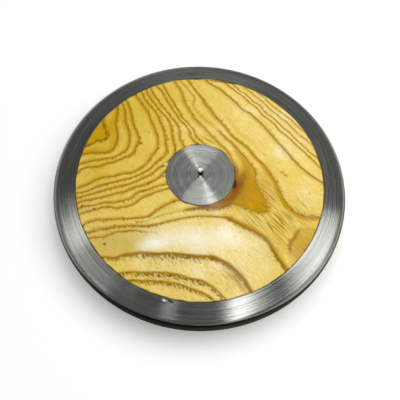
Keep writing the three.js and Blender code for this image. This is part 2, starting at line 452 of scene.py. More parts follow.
@dataclass(frozen=True)
class TurnedSteel:
    """Mild steel turned on a lathe and left bare.

    Its fine grooves run round the axis, so a lamp's highlight is drawn out across them into a bright sector,
    and the coarser grooves show in it as streaks.
    """

    name: str
    colour: str = "#CED0CA"
    shade_colour: str = "#959791"
    roughness: float = 0.22
    roughness_spread: float = 0.03
    anisotropy: float = 0.95
    anisotropic_turn: float = 0.25   # of a turn, from the tangent round the axis
    groove_pitch: float = 0.95       # mm; real tool marks are about 0.1 mm apart and would not show
    groove_arc: float = 50.0         # degrees round before a groove fades into the next
    groove_depth: float = 0.03       # mm
    streak: float = 0.5              # how far the grooves swing the tone from shade to colour
    streak_range: Point = (0.35, 0.65)    # groove noise at the darkest and the palest streak
    rough_range: Point = (0.3, 0.7)       # groove noise where the steel is smoothest and roughest
    grazing_tint: str = "#6E6E6E"    # what steel keeps of a reflection at a grazing angle
    # colour of the painted shade, partly oil, along the middle plane or in a recess
    oil_and_shade_colour: str = "#1A1A17"
    oil_and_shade_height: float = 0.0         # mm; steel nearer the middle plane than this gets painted shade, partly oil
    oil_and_shade_soft: float = 1.0           # mm
    oil_and_shade_roughness: float = 0.55
    oil_and_shade_top_front: Point = ALL_ROUND     # how far towards the camera the painted shade starts and is full high, where -Y is 1
    oil_and_shade_foot_front: Point = ALL_ROUND    # the same below the middle plane
    unshaded_radius: float = 0.0         # mm; nearer the axis than this the painted shade is left off
    unshaded_soft: float = 0.2           # mm
    dirt_radius: float = 0.0         # mm; nearer the axis than this dirt dulls the steel
    dirt_soft: float = 0.4           # mm
    dirt_strength: float = 0.8
    dark_edge_radius: float = 1000.0      # mm; further from the axis than this the edge is darkened, a painted shade
    dark_edge_soft: float = 0.5           # mm
    dark_edge_strength: float = 0.7
    # colour of the dirt along the wood and of the painted shade on the outermost edge
    dirt_and_dark_edge_colour: str = "#56534A"
    marks: tuple[Mark, ...] = ()

    def material(self) -> Material:
        """Builds the finish.

        Returns:
            The material.
        """
        material, tree = new_material(self.name)
        place = add_node(tree, "TexCoord").outputs["Object"]
        size = add_node(tree, "VectorMath", {0: place, "Scale": 1 / MM}, operation="SCALE").outputs[0]
        axes = add_node(tree, "SeparateXYZ", {0: size}).outputs
        flat = add_node(tree, "CombineXYZ", {"X": axes["X"], "Y": axes["Y"]}).outputs[0]
        radius = add_node(tree, "VectorMath", {0: flat}, operation="LENGTH").outputs["Value"]
        way_round = add_node(tree, "VectorMath", {0: flat}, operation="NORMALIZE").outputs[0]
        grooves = self._grooves(tree, radius, axes["Z"], way_round)
        swing = add_node(tree, "MapRange", {
            "Value": grooves, "From Min": self.streak_range[0], "From Max": self.streak_range[1],
            "To Min": 0.5 - self.streak, "To Max": 0.5 + self.streak}).outputs[0]
        tone = add_node(tree, "Mix", {0: swing, 6: linear(self.shade_colour), 7: linear(self.colour)},
                        data_type="RGBA").outputs[2]
        # Painted shade, partly oil: a dark band along the middle plane, fuller towards the camera, or a
        # recess below a given height
        oil_and_shade = self._oil_and_shade(tree, radius, axes["Z"], way_round)
        oiled_and_shaded = add_node(tree, "Mix", {0: oil_and_shade, 6: tone, 7: linear(self.oil_and_shade_colour)},
                           data_type="RGBA").outputs[2]
        # Dirt along the wood, and painted shade on the outermost edge
        dirtied_and_darkened = add_node(tree, "Mix", {0: self._dirt_and_dark_edge(tree, radius), 6: oiled_and_shaded, 7: linear(self.dirt_and_dark_edge_colour)},
                          data_type="RGBA").outputs[2]
        colour = lay_marks(tree, size, dirtied_and_darkened, self.marks)
        turned = add_node(tree, "MapRange", {
            "Value": grooves, "From Min": self.rough_range[0], "From Max": self.rough_range[1],
            "To Min": self.roughness - self.roughness_spread,
            "To Max": self.roughness + self.roughness_spread}).outputs[0]
        rough = add_node(tree, "Mix", {0: oil_and_shade, 2: turned, 3: self.oil_and_shade_roughness}).outputs[0]
        relief = add_node(tree, "Bump", {
            "Height": grooves, "Distance": self.groove_depth * MM, "Strength": 1.0}).outputs[0]
        tangent = add_node(tree, "Tangent", direction_type="RADIAL", axis="Z").outputs[0]
        shader = add_node(tree, "BsdfPrincipled", {
            "Base Color": colour, "Metallic": 1.0, "Roughness": rough,
            "Specular Tint": linear(self.grazing_tint), "Anisotropic": self.anisotropy,
            "Anisotropic Rotation": self.anisotropic_turn, "Tangent": tangent, "Normal": relief}).outputs[0]
        add_node(tree, "OutputMaterial", {"Surface": shader})
        return material

    def _grooves(self, tree: Tree, radius: Socket, level: Socket, way_round: Socket) -> Socket:
        """Draws the grooves round the axis, each of which fades into the next along an arc.

        Args:
            tree: The finish's tree.
            radius: Distance from the axis in millimetres.
            level: Height above the middle plane in millimetres.
            way_round: The way from the axis to the place.

        Returns:
            Noise across the grooves and along them, about 0.3 to 0.7.
        """
        rise = add_node(tree, "Math", {0: level}, operation="ABSOLUTE").outputs[0]
        along = add_node(tree, "Math", {0: radius, 1: rise}, operation="SUBTRACT").outputs[0]
        line = add_node(tree, "Math", {0: along, 1: 1 / self.groove_pitch}, operation="MULTIPLY").outputs[0]
        turns = add_node(tree, "VectorMath", {0: way_round, "Scale": 1 / math.radians(self.groove_arc)},
                         operation="SCALE").outputs[0]
        offset = add_node(tree, "CombineXYZ", {"Z": line}).outputs[0]
        groove = add_node(tree, "VectorMath", {0: turns, 1: offset}, operation="ADD").outputs[0]
        return add_node(tree, "TexNoise", {
            "Vector": groove, "Scale": 1.0, "Detail": 3.0, "Roughness": 0.7}).outputs[0]

    def _oil_and_shade(self, tree: Tree, radius: Socket, level: Socket, way_round: Socket) -> Socket:
        """Finds the painted shade, partly oil: a dark band along the middle plane, fuller towards the camera.

        Args:
            tree: The finish's tree.
            radius: Distance from the axis in millimetres.
            level: Height above the middle plane in millimetres.
            way_round: The way from the axis to the place.

        Returns:
            How strong the painted shade is, from 0 to 1.
        """
        front = add_node(tree, "VectorMath", {0: way_round, 1: (0, -1, 0)}, operation="DOT_PRODUCT")
        past = []
        for way, fronts in ((1.0, self.oil_and_shade_top_front), (-1.0, self.oil_and_shade_foot_front)):
            end = add_node(tree, "MapRange", {
                "Value": front.outputs["Value"], "From Min": fronts[0], "From Max": fronts[1],
                "To Max": self.oil_and_shade_height}).outputs[0]
            away = add_node(tree, "Math", {0: level, 1: way}, operation="MULTIPLY").outputs[0]
            past.append(add_node(tree, "Math", {0: away, 1: end}, operation="SUBTRACT").outputs[0])
        beyond = add_node(tree, "Math", {0: past[0], 1: past[1]}, operation="MAXIMUM").outputs[0]
        band = add_node(tree, "MapRange", {
            "Value": beyond, "From Min": -self.oil_and_shade_soft, "From Max": 0.0, "To Min": 1.0, "To Max": 0.0},
            interpolation_type="SMOOTHSTEP").outputs[0]
        outside_unshaded = add_node(tree, "MapRange", {
            "Value": radius, "From Min": self.unshaded_radius - self.unshaded_soft, "From Max": self.unshaded_radius},
            interpolation_type="SMOOTHSTEP").outputs[0]
        return add_node(tree, "Math", {0: band, 1: outside_unshaded}, operation="MULTIPLY").outputs[0]

    def _dirt_and_dark_edge(self, tree: Tree, radius: Socket) -> Socket:
        """Finds the dirt along the wood and the painted shade that darkens the outermost edge.

        Args:
            tree: The finish's tree.
            radius: Distance from the axis in millimetres.

        Returns:
            How far the steel is darkened, from 0 to 1.
        """
        dirt = add_node(tree, "MapRange", {
            "Value": radius, "From Min": self.dirt_radius - self.dirt_soft, "From Max": self.dirt_radius,
            "To Min": self.dirt_strength, "To Max": 0.0}).outputs[0]
        dark_edge = add_node(tree, "MapRange", {
            "Value": radius, "From Min": self.dark_edge_radius - self.dark_edge_soft,
            "From Max": self.dark_edge_radius + self.dark_edge_soft, "To Max": self.dark_edge_strength}).outputs[0]
        return add_node(tree, "Math", {0: dirt, 1: dark_edge}, operation="MAXIMUM").outputs[0]


@dataclass(frozen=True)
class MildSteel:
    """Plain drawn mild steel of the inner fittings: grey, satin, with a faint cloudiness."""

    name: str = "mild_steel"
    colour: str = "#85888A"
    dull_colour: str = "#6E706F"
    roughness: float = 0.42
    roughness_spread: float = 0.1
    cloud_scale: float = 400.0       # clouds in a metre

    def material(self) -> Material:
        """Builds the finish.

        Returns:
            The material.
        """
        material, tree = new_material(self.name)
        place = add_node(tree, "TexCoord").outputs["Object"]
        cloud = add_node(tree, "TexNoise", {
            "Vector": place, "Scale": self.cloud_scale, "Detail": 3.0}).outputs[0]
        colour = add_node(tree, "Mix", {0: cloud, 6: linear(self.dull_colour), 7: linear(self.colour)},
                          data_type="RGBA").outputs[2]
        rough = add_node(tree, "Math", {
            0: cloud, 1: 2 * self.roughness_spread, 2: self.roughness - self.roughness_spread},
            operation="MULTIPLY_ADD").outputs[0]
        shader = add_node(tree, "BsdfPrincipled", {
            "Base Color": colour, "Metallic": 1.0, "Roughness": rough}).outputs[0]
        add_node(tree, "OutputMaterial", {"Surface": shader})
        return material


@dataclass(frozen=True)
class GrowthLine:
    """One growth line where it meets the turned face.

    Its number counts rings outwards from the heart of the log. Width is that of its dark line in millimetres,
    and depth how dark it is. Pores is the strength of the open pores just outside it, and amber that of the
    dense wood just inside it.
    """

    number: float
    points: tuple[Point, ...]
    width: float = 1.4
    depth: float = 0.92
    pores: float = 0.6
    amber: float = 0.6


@dataclass(frozen=True)
class Swell:
    """A round place where a value of the figure is higher than usual, and falls off smoothly around it."""

    centre: Point
    radius: float
    extra: float


NEVER_ZERO = 1e-9                # least squared distance whose logarithm is taken


@dataclass(frozen=True)
class ThinPlate:
    """A thin-plate spline: the smoothest surface through values at points."""

    points: np.ndarray
    weights: np.ndarray
    plane: np.ndarray

    @classmethod
    def through(cls, points: np.ndarray, values: np.ndarray) -> "ThinPlate":
        """Fits the spline.

        Args:
            points: Rows of x and y.
            values: The value at each point.

        Returns:
            The spline.
        """
        count = len(points)
        away = points[:, None] - points[None]
        flat = np.c_[np.ones(count), points]
        system = np.block([[cls._bend((away ** 2).sum(-1)), flat], [flat.T, np.zeros((3, 3))]])
        solved = np.linalg.solve(system, np.r_[values, np.zeros(3)])
        return cls(points, solved[:count], solved[count:])

    @staticmethod
    def _bend(square: np.ndarray) -> np.ndarray:
        """Gives the spline's kernel for squared distances."""
        return 0.5 * square * np.log(np.maximum(square, NEVER_ZERO))

    def read(self, at: np.ndarray) -> tuple[np.ndarray, np.ndarray]:
        """Reads the surface.

        Args:
            at: Rows of x and y.

        Returns:
            The value at each row, and how steeply it rises there.
        """
        away = at[:, None] - self.points[None]
        square = (away ** 2).sum(-1)
        value = self._bend(square) @ self.weights + self.plane[0] + at @ self.plane[1:]
        pull = (np.log(np.maximum(square, NEVER_ZERO)) + 1) * self.weights
        rise = (pull[..., None] * away).sum(1) + self.plane[1:]
        return value, np.hypot(rise[:, 0], rise[:, 1])


GROWTH_LINES = (
    GrowthLine(-0.35, ((-82, 37),)),
    GrowthLine(0, ((-88, 26), (-83, 27.8), (-79, 30), (-75.5, 29.8), (-72.8, 32), (-73, 37), (-75.5, 42),
                    (-77, 47), (-78, 51)), width=2.2, pores=1.0, amber=0.9),
    GrowthLine(1, ((-90, 18.3), (-84, 19.3), (-77, 18.7), (-71, 18.6), (-67, 20.5), (-65.3, 24), (-64.2, 29),
                    (-64.7, 36), (-66.2, 42), (-67, 50), (-66.8, 55), (-67.2, 60), (-68, 63)), width=2.0,
                    amber=0.7),
    GrowthLine(2, ((-91.5, 9.6), (-86, 11), (-80, 12), (-73, 12.6), (-66, 13.5), (-62.5, 15), (-59, 17.8),
                    (-56, 20), (-54.8, 24), (-54.6, 30), (-55.5, 36), (-58, 42), (-59.7, 47), (-60, 52),
                    (-61, 58), (-63, 64), (-64.5, 68)), width=1.8),
    GrowthLine(3, ((-91.5, 2.5), (-88.5, 5.6), (-84, 6.6), (-79, 6.6), (-74, 7), (-69.5, 9), (-62.5, 10.8),
                    (-57, 13.3), (-53, 14.8), (-50, 18), (-49.3, 22), (-47.6, 26), (-47.4, 30), (-49.3, 35),
                    (-52, 41), (-54, 47), (-56, 55), (-58.5, 62), (-61.5, 69)), width=1.8),
    GrowthLine(4, ((-90.5, -10.3), (-86, -8.6), (-82, -7.3), (-78, -5), (-75, -3.7), (-70, -2.7), (-64, -2.4),
                    (-60, -1), (-55, -0.4), (-50, 0.2), (-47, 2), (-43, 4.6), (-40, 7.8), (-37.3, 13),
                    (-34.3, 17.5), (-32.8, 23), (-32.8, 28), (-34.7, 34), (-37.2, 41), (-39.5, 46),
                    (-41.5, 52), (-44, 57), (-47, 62), (-50.5, 68), (-54, 73.5), (-56, 77))),
    GrowthLine(5, ((-90, -14.4), (-84, -13.7), (-80, -12.2), (-75, -10), (-70, -8.6), (-62, -6.8),
                    (-55, -5.3), (-50, -3.9), (-45, -1.7), (-41, 0.4), (-37, 3.5), (-33, 8.3), (-29, 12.3),
                    (-26, 16.5), (-25.9, 20.5), (-27, 26), (-27.6, 31), (-29.3, 37), (-31, 42), (-33, 47),
                    (-35, 52), (-38, 57), (-42, 62), (-45, 66.5), (-47.3, 71), (-49.5, 76.5)), width=1.6),
    GrowthLine(6, ((-90, -18.3), (-85, -17.3), (-80, -16.2), (-75, -14.8), (-68, -13), (-60, -11),
                    (-52, -9.1), (-45, -6.1), (-40, -3.6), (-35.5, -1), (-31.5, 3), (-26, 7.5), (-19.6, 18),
                    (-19.9, 22), (-21.5, 28), (-23, 37), (-25, 44), (-27.5, 49), (-31, 53.7), (-34.5, 57.7),
                    (-38, 63.5), (-41.5, 69), (-44.3, 74), (-46.2, 79.5)), width=1.6),
    GrowthLine(7, ((-88.5, -22), (-82, -20.4), (-75, -19.3), (-67, -18), (-60, -16.2), (-54, -14.9),
                    (-50.5, -12.7), (-44, -11), (-38, -8.7), (-33, -6), (-28.5, -2), (-24.5, 2), (-13, 23),
                    (-15, 27), (-16.7, 31.5), (-17.3, 36), (-18.6, 41), (-21.5, 46), (-24.5, 50), (-28, 55.5),
                    (-32, 60.8), (-35, 66), (-38.5, 71.5), (-41, 76.5), (-43, 81.5))),
    GrowthLine(8, ((-88, -27), (-83, -25.3), (-76, -25), (-70.5, -23.5), (-62.5, -23.4), (-55, -22),
                    (-49.5, -20.5), (-46.5, -17.5), (-44, -15.5), (-38, -14), (-31.5, -11.3), (-24.3, -9),
                    (-1.5, 24.8), (-4.5, 26.6), (-7.5, 30), (-9.3, 34), (-10.8, 39), (-13.5, 43), (-18, 48),
                    (-20.5, 53), (-23.5, 57.5), (-26, 62), (-29, 67.5), (-31.2, 72.5), (-33.5, 77.5),
                    (-37.5, 82.5), (-39, 85))),
    GrowthLine(9, ((-87, -31.5), (-81.5, -29.5), (-76, -28.3), (-70, -26.8), (-64, -26.4), (-55, -27),
                    (-50, -26.2), (-46.5, -24.5), (-42.5, -21), (-37.5, -18), (-30, -15), (-22.5, -12.3),
                    (3.5, 24.6), (0.5, 27), (-2.5, 29.6), (-4.8, 33), (-6.5, 37.5), (-10, 42), (-14.5, 47.5),
                    (-17, 51.5), (-19.5, 57), (-22.5, 62.5), (-26, 69.5), (-28.5, 74), (-30.5, 79),
                    (-33.5, 84.5), (-35, 87))),
    GrowthLine(10, ((-84, -40.5), (-79, -37.4), (-75, -36.5), (-68, -36.1), (-60, -36.2), (-50, -36),
                     (-42, -35.3), (-36, -34.2), (-32.5, -31.7), (-28, -28), (-22, -24.7), (-19, -22.7),
                     (-13, -21)), pores=0.8),
    GrowthLine(10, ((24, 9.5), (21.5, 16.3), (18.2, 22), (14.3, 25.7), (8.5, 32), (5, 36), (1, 41),
                     (-4.5, 47), (-8.5, 53.5), (-11.5, 59), (-14.5, 65), (-15.8, 69.5), (-17.2, 74.5),
                     (-20, 81), (-23, 86), (-24.5, 90)), width=1.8, depth=0.82, pores=0.3),
    GrowthLine(11, ((-40, -38), (-34, -36.3), (-27, -33.4), (-20, -31.6), (-10, -29.2)), width=1.2, depth=0.4,
                     pores=0.2, amber=0.2),
    GrowthLine(11, ((-10, -29.2), (-4, -27.7), (4, -27), (10, -26.5), (15, -26), (20, -23.3), (25, -22)),
                     width=1.6, pores=1.0, amber=0.9),
    GrowthLine(11, ((25, -22), (30, -22.6), (36, -25), (42, -26.4), (47, -25.8), (49.3, -23.5)), width=1.6,
                     depth=0.7, pores=1.0, amber=1.0),
    GrowthLine(11, ((49.3, -23.5), (48.5, -20), (46.5, -15.5), (44, -11), (41.5, -6), (40, -1)), width=1.2,
                     depth=0.5, pores=1.0, amber=1.0),
    GrowthLine(11, ((40, -1), (40.3, 4), (38.5, 8.5), (35, 13), (32, 17), (27, 22.7)), width=1.3, pores=0.8,
                     amber=0.9),
    GrowthLine(11, ((27, 22.7), (21, 29.5), (16.5, 33.7), (12, 39)), width=2.0, depth=0.88, pores=0.5),
    GrowthLine(11, ((12, 39), (7.5, 44), (3, 48), (-2, 53), (-6, 58), (-8, 64)), width=1.8, depth=0.15,
                     pores=0.2, amber=0.5),
    GrowthLine(11, ((-8, 64), (-7.2, 70), (-9, 73.5), (-12.5, 79.5), (-15.5, 83.5), (-20, 90)), depth=0.55,
                     pores=0.2, amber=0.3),
    GrowthLine(11, ((82, -34), (78, -34.8), (74, -36)), width=1.2, depth=0.2, pores=0.2, amber=0.4),
    GrowthLine(11, ((74, -36), (71.5, -38), (69.5, -42.5), (66.8, -46), (66, -50), (66.6, -53.5)), width=2.6,
                     depth=0.95, pores=0.8, amber=0.75),
    GrowthLine(11, ((66.6, -53.5), (69, -56.5), (73, -58)), width=1.2, depth=0.1, pores=0.2, amber=0.4),
    GrowthLine(10.6, ((78, -46),)),
    GrowthLine(12, ((-80.5, -45.2), (-76, -44.3), (-70, -42.7), (-62, -41.9), (-55, -41), (-47.5, -40.6),
                     (-40, -40.9), (-33, -40.6), (-27, -39.5)), width=1.6, depth=0.88, pores=1.3, amber=0.3),
    GrowthLine(12, ((-27, -39.5), (-20, -37.3), (-13, -35.5), (-5, -33.7), (0, -33), (10, -32.6),
                     (19, -32.9)), pores=0.4, amber=0.35),
    GrowthLine(12, ((19, -32.9), (25, -35), (32, -38.3), (39, -41), (45, -44), (49.5, -47.5), (53, -52.5),
                     (56, -57), (60, -62), (63.5, -66.5), (65, -69)), width=2.4, depth=1.0, pores=0.6,
                     amber=0.9),
    GrowthLine(12, ((-14, 91.5), (-10, 84), (-7.5, 79), (-4.5, 74.5), (0, 67.5), (5, 59.5), (10, 51.5),
                     (15, 45.5), (20, 38.5), (22, 35)), width=2.1, depth=0.88, pores=0.2),
    GrowthLine(12, ((22, 35), (27, 31), (34, 25.5), (40.5, 17.5), (46.5, 11.5), (51, 5.5)), width=1.9,
                     pores=0.3, amber=0.8),
    GrowthLine(12, ((51, 5.5), (54.5, 0.5), (57, -5), (58.3, -9), (61, -14.5), (65, -20), (70, -23.5)),
                     width=1.4, pores=0.9, amber=1.0),
    GrowthLine(12, ((70, -23.5), (75, -25.3), (82, -25.6), (90, -24.3)), width=1.3, pores=1.0, amber=1.0),
    GrowthLine(13, ((-78, -49.5), (-73.5, -48.8), (-68, -49), (-63, -47.3), (-59, -45.8), (-52, -45.1),
                     (-43, -44.8), (-36, -45.6)), width=1.3, pores=0.3, amber=0.3),
    GrowthLine(13, ((-36, -45.6), (-29, -45.6)), width=1.2, depth=0.3, pores=0.1, amber=0.1),
    GrowthLine(14, ((0, 92), (2.5, 88.5), (8, 84.2), (13, 80.8), (17, 76), (22.5, 70.5), (27, 65), (32, 60),
                     (38.5, 55.5), (44, 49.7), (48, 45), (53, 39), (57.5, 33), (63, 27), (68, 20.5),
                     (74, 14.5), (80, 10), (86, 6.5), (93, 3.2)), width=1.7, pores=0.3, amber=0.35),
    GrowthLine(14, ((-69, -63.2), (-64, -63), (-58, -63.9), (-53, -62.4), (-46, -61.6), (-38, -60.6)),
                     width=1.7, depth=0.95, pores=1.1, amber=0.1),
    GrowthLine(14, ((-38, -60.6), (-28, -61), (-18, -60.5), (-8, -61.2), (4, -61.9), (10, -61.7)), width=2.1,
                     depth=1.0, pores=1.3, amber=0.1),
    GrowthLine(14, ((10, -61.7), (17, -64), (22, -66), (27, -69.5), (31, -73.3), (35, -77.3), (37.7, -81.5),
                     (41, -86)), width=3.0, depth=1.0, pores=1.0, amber=0.1),
    GrowthLine(15, ((13, 92), (18, 87), (24, 81.3), (28.5, 77.5), (33, 72.5), (39, 67), (43.5, 62), (50, 55),
                     (55, 50.5), (62.5, 42), (67.5, 38), (74, 31.5), (79, 27), (84.5, 22), (92, 15.5)),
                     pores=0.2, amber=0.3),
    GrowthLine(15, ((-58, -75.5), (-54, -74.5), (-45, -73.7), (-37, -73.9), (-28, -73.7), (-18, -74),
                     (-10, -75.3), (-3, -77.2), (4, -78), (9, -80.2), (14, -83.3), (18, -86.5), (22, -90.5)),
                     width=1.5, depth=0.88, pores=1.3, amber=0.1),
    GrowthLine(16, ((22, 88.5), (28, 81), (34.5, 76), (39.5, 70.5), (46.5, 63), (51, 58.5), (57, 53),
                     (62, 48), (70, 40), (76, 34.5), (82, 29), (90, 23.2)), depth=0.88, pores=0.2, amber=0.3),
    GrowthLine(16, ((-50, -80), (-42, -79.1), (-33, -79.6), (-24, -79.7), (-15, -80.7), (-8, -82), (0, -84.6),
                     (7, -86.8), (12.5, -90)), width=1.5, pores=1.2, amber=0.1),
    GrowthLine(17, ((30, 88.5), (36, 82), (42.5, 75.5), (47.5, 70.5), (52, 65), (57.5, 60.5), (65.5, 53.8),
                     (72.5, 45.5), (78.5, 41), (86, 35)), width=1.2, depth=0.82, pores=0.2, amber=0.3),
    GrowthLine(18, ((41, 83.5), (46, 78), (50, 73.5), (54.5, 68.5), (60, 64), (65.5, 59.5), (70, 55.5),
                     (76.5, 49)), width=1.3, depth=0.82, pores=0.3, amber=0.3),
)

# Bands without a growth line of their own, where the count above steps over one
PLAIN_BANDS = (
    ((-8, 94), (0, 81), (10, 69), (20, 57), (30, 44), (40, 35), (50, 25), (60, 11), (70, -3), (80, -11),
     (91, -14)),
    ((-26, -45.5), (-10, -43), (8, -41), (20, -44), (30, -51), (42, -59), (50, -69.5), (55, -76)),
    ((-82, -43), (-75, -40), (-65, -38.9), (-55, -38.6), (-46, -38)),
    ((-36, -85.5), (-20, -86.8), (-8, -89.2), (2, -92)),
)


def distance_to_path(at: np.ndarray, path: tuple[Point, ...]) -> np.ndarray:
    """Measures how far points lie from a path of straight stretches.

    Args:
        at: Rows of x and y.
        path: The path's corners.

    Returns:
        The shortest distance for each row.
    """
    corners = np.array(path, float)
    nearest = np.hypot(*(at - corners[0]).T)
    for start, end in zip(corners[:-1], corners[1:]):
        stretch = end - start
        share = np.clip((at - start) @ stretch / (stretch @ stretch), 0, 1)
        nearest = np.minimum(nearest, np.hypot(*(at - start - share[:, None] * stretch).T))
    return nearest


NEAREST = 0.6                    # mm; nearer than about this a value holds alone


def blend_values(distances: np.ndarray, values: np.ndarray, stretch: Stretch) -> np.ndarray:
    """Blends values by how near they are.

    Args:
        distances: One row of distances for each value.
        values: The values.
        stretch: How quickly a value's weight falls with distance.

    Returns:
        The blend at each place.
    """
    weights = 1 / (distances + NEAREST) ** stretch.value
    return (weights * values[:, None]).sum(0) / weights.sum(0)


@dataclass(frozen=True)
class BoardFigure:
    """The figure that the board shows on a turned face: growth lines, tone and the run of its fibres."""

    turn: float = 0.0                # degrees that the board is turned for this face
    shift: Point = (0.0, 0.0)
    widest_ring: float = 26.0        # mm
    usual_amber: float = 4.2         # mm of dense wood inside a growth line
    amber_share: float = 0.5         # the most of the distance between rings that it takes
    usual_pores: float = 3.4         # mm of open pores outside one
    widest_line: float = 0.34        # of the distance between rings
    dense_heart: float = 11.0        # the ring inside which whole patches are dense
    spline_unit: float = 100.0       # mm in the spline's own unit, which keeps its numbers near one
    batch: int = 8000                # points that are read at a time, to save memory
    tone_blur: float = 4.0           # mm over which the ground tones run into each other

    def lay_on(self, piece: Piece) -> None:
        """Stores the figure on a piece's points.

        Args:
            piece: A wooden side, as built for the upper face.
        """
        spin = np.array(Matrix.Rotation(math.radians(self.turn), 2))
        at = place_points(piece)[:, :2] @ spin.T + np.array(self.shift)
        ring, pitch = self._rings(at)
        width, depth, pores, amber = self._line_traits(at)
        along, across = self._fibres(at)
        self._store(piece, "growth", np.c_[ring, pitch, np.minimum(width, self.widest_line * pitch)])
        self._store(piece, "figure", np.c_[pores, amber, depth])
        patches = np.where(ring < self.dense_heart, self._swell(at, AMBER_SWELLS), 0.0)
        amber_reach = np.minimum(self.usual_amber, self.amber_share * pitch) + patches
        pore_reach = self.usual_pores + self._swell(at, PORE_SWELLS)
        self._store(piece, "reach", np.c_[amber_reach, pore_reach, self._swell(at, GROOVED_PLACES)])
        self._store(piece, "fibre", np.c_[along, across, self._gold(at)])

    @staticmethod
    def _store(piece: Piece, name: str, rows: np.ndarray) -> None:
        """Stores three values for each point as an attribute of the piece."""
        attribute = piece.data.attributes.new(name, "FLOAT_VECTOR", "POINT")
        attribute.data.foreach_set("vector", rows.astype(np.float32).ravel())

    def _rings(self, at: np.ndarray) -> tuple[np.ndarray, np.ndarray]:
        """Counts the growth rings.

        Args:
            at: Rows of x and y.

        Returns:
            The ring number and the distance between rings at each row.
        """
        known = {place: line.number for line in GROWTH_LINES for place in line.points}
        rows = np.array([(x, y, number) for (x, y), number in known.items()], float)
        spline = ThinPlate.through(rows[:, :2] / self.spline_unit, rows[:, 2])
        rings, rises = [], []
        for part in np.array_split(at / self.spline_unit, max(1, len(at) // self.batch)):
            value, rise = spline.read(part)
            rings.append(value)
            rises.append(rise / self.spline_unit)
        pitch = 1 / np.maximum(np.concatenate(rises), 1 / self.widest_ring)
        return np.concatenate(rings), pitch

    @staticmethod
    def _line_traits(at: np.ndarray) -> tuple[np.ndarray, ...]:
        """Reads the traits of the growth lines near each place.

        Args:
            at: Rows of x and y.

        Returns:
            Width and depth of the dark line, strength of its pores and strength of the amber before it.
        """
        lines = [line for line in GROWTH_LINES if len(line.points) > 1]
        paths = [line.points for line in lines] + list(PLAIN_BANDS)
        plain = [0.0] * len(PLAIN_BANDS)
        distances = np.array([distance_to_path(at, path) for path in paths])
        names = ("width", "depth", "pores", "amber")
        traits = ([getattr(line, name) for line in lines] + plain for name in names)
        return tuple(blend_values(distances, np.array(values), Stretch.NEAR) for values in traits)

    @staticmethod
    def _swell(at: np.ndarray, swells: tuple[Swell, ...]) -> np.ndarray:
        """Adds up the swells at each place.

        Args:
            at: Rows of x and y.
            swells: The swells.

        Returns:
            Their sum at each row.
        """
        total = np.zeros(len(at))
        for swell in swells:
            total += swell.extra * np.exp(-((at - np.array(swell.centre)) ** 2).sum(1) / swell.radius ** 2)
        return total

    def _gold(self, at: np.ndarray) -> np.ndarray:
        """Gives the wood's ground tone, from 0 for cream to 1 for gold."""
        distances = np.array([np.hypot(*(at - np.array(centre)).T) for centre, _ in TONES])
        return blend_values(distances + self.tone_blur, np.array([tone for _, tone in TONES]), Stretch.WIDE)

    @staticmethod
    def _fibres(at: np.ndarray) -> tuple[np.ndarray, np.ndarray]:
        """Lays smooth coordinates along and across the fibres.

        Args:
            at: Rows of x and y.

        Returns:
            Millimetres along the fibres and across them.
        """
        rows, along, across = [], [], []
        for (x, y), angle in FIBRES:
            for way in (math.radians(angle), math.radians(angle) + QUARTER_TURN):
                c, s = math.cos(way), math.sin(way)
                rows.append([c, s, 2 * x * c, y * c + x * s, 2 * y * s])
            along += [1, 0]
            across += [0, 1]
        terms = np.c_[at, at[:, 0] ** 2, at[:, 0] * at[:, 1], at[:, 1] ** 2]
        fit = np.linalg.lstsq(np.array(rows), np.array([along, across], float).T, rcond=None)[0]
        return terms @ fit[:, 0], terms @ fit[:, 1]


AMBER_SWELLS = (
    Swell((34, -9), 16, 34),
    Swell((78, -43), 12, 20),
    Swell((-80, 37), 12, 12),
)

PORE_SWELLS = (
    Swell((84, -18), 8, 4),
    Swell((-14, -66), 24, 2),
    Swell((-24, -77), 16, 2),
)

# Where the face cuts the fibres at so low an angle that their pores show as long grooves
GROOVED_PLACES = (
    Swell((58, -36), 19, 0.8),
    Swell((38, -30), 10, 0.4),
    Swell((47, -10), 9, 0.8),
    Swell((27, -74), 7, 0.9),
    Swell((78, -18), 8, 0.5),
)

TONES = (
    ((-78, 36), 1.0), ((-66, 52), 0.95), ((-45, 60), 0.75), ((-30, 30), 0.6), ((-72, 6), 0.75),
    ((-50, 12), 0.65), ((-22, 74), 0.5), ((0, 84), 0.45), ((4, 52), 0.42), ((30, 60), 0.15), ((62, 60), 0.18),
    ((60, 28), 0.12), ((84, 14), 0.3), ((56, 0), 0.4), ((80, -14), 0.25), ((32, 12), 0.6), ((34, -16), 0.8),
    ((60, -36), 0.85), ((82, -40), 0.95), ((44, -58), 0.15), ((66, -58), 0.4), ((20, -44), 0.0),
    ((0, -50), 0.0), ((-30, -52), 0.0), ((-58, -54), 0.5), ((-66, -42), 0.6), ((0, -30), 0.25),
    ((-30, -34), 0.3), ((-70, -26), 0.6), ((-50, -14), 0.55), ((-30, -4), 0.5), ((-40, -68), 0.2),
    ((0, -68), 0.1), ((20, -80), 0.25), ((-10, -86), 0.5), ((-44, -78), 0.5),
)

# Where the fibres meet the face, and their angle from +X in degrees
FIBRES = (
    ((45, -37), -35), ((85, -16), -50), ((62, -40), -36), ((10, -70), -52), ((-40, -64), -60),
    ((-75, -10), -62), ((-60, 50), -66), ((0, 60), -56), ((50, 50), -50), ((30, 0), -40), ((0, -90), -54),
    ((30, -76), -42), ((48, -9), -28),
)


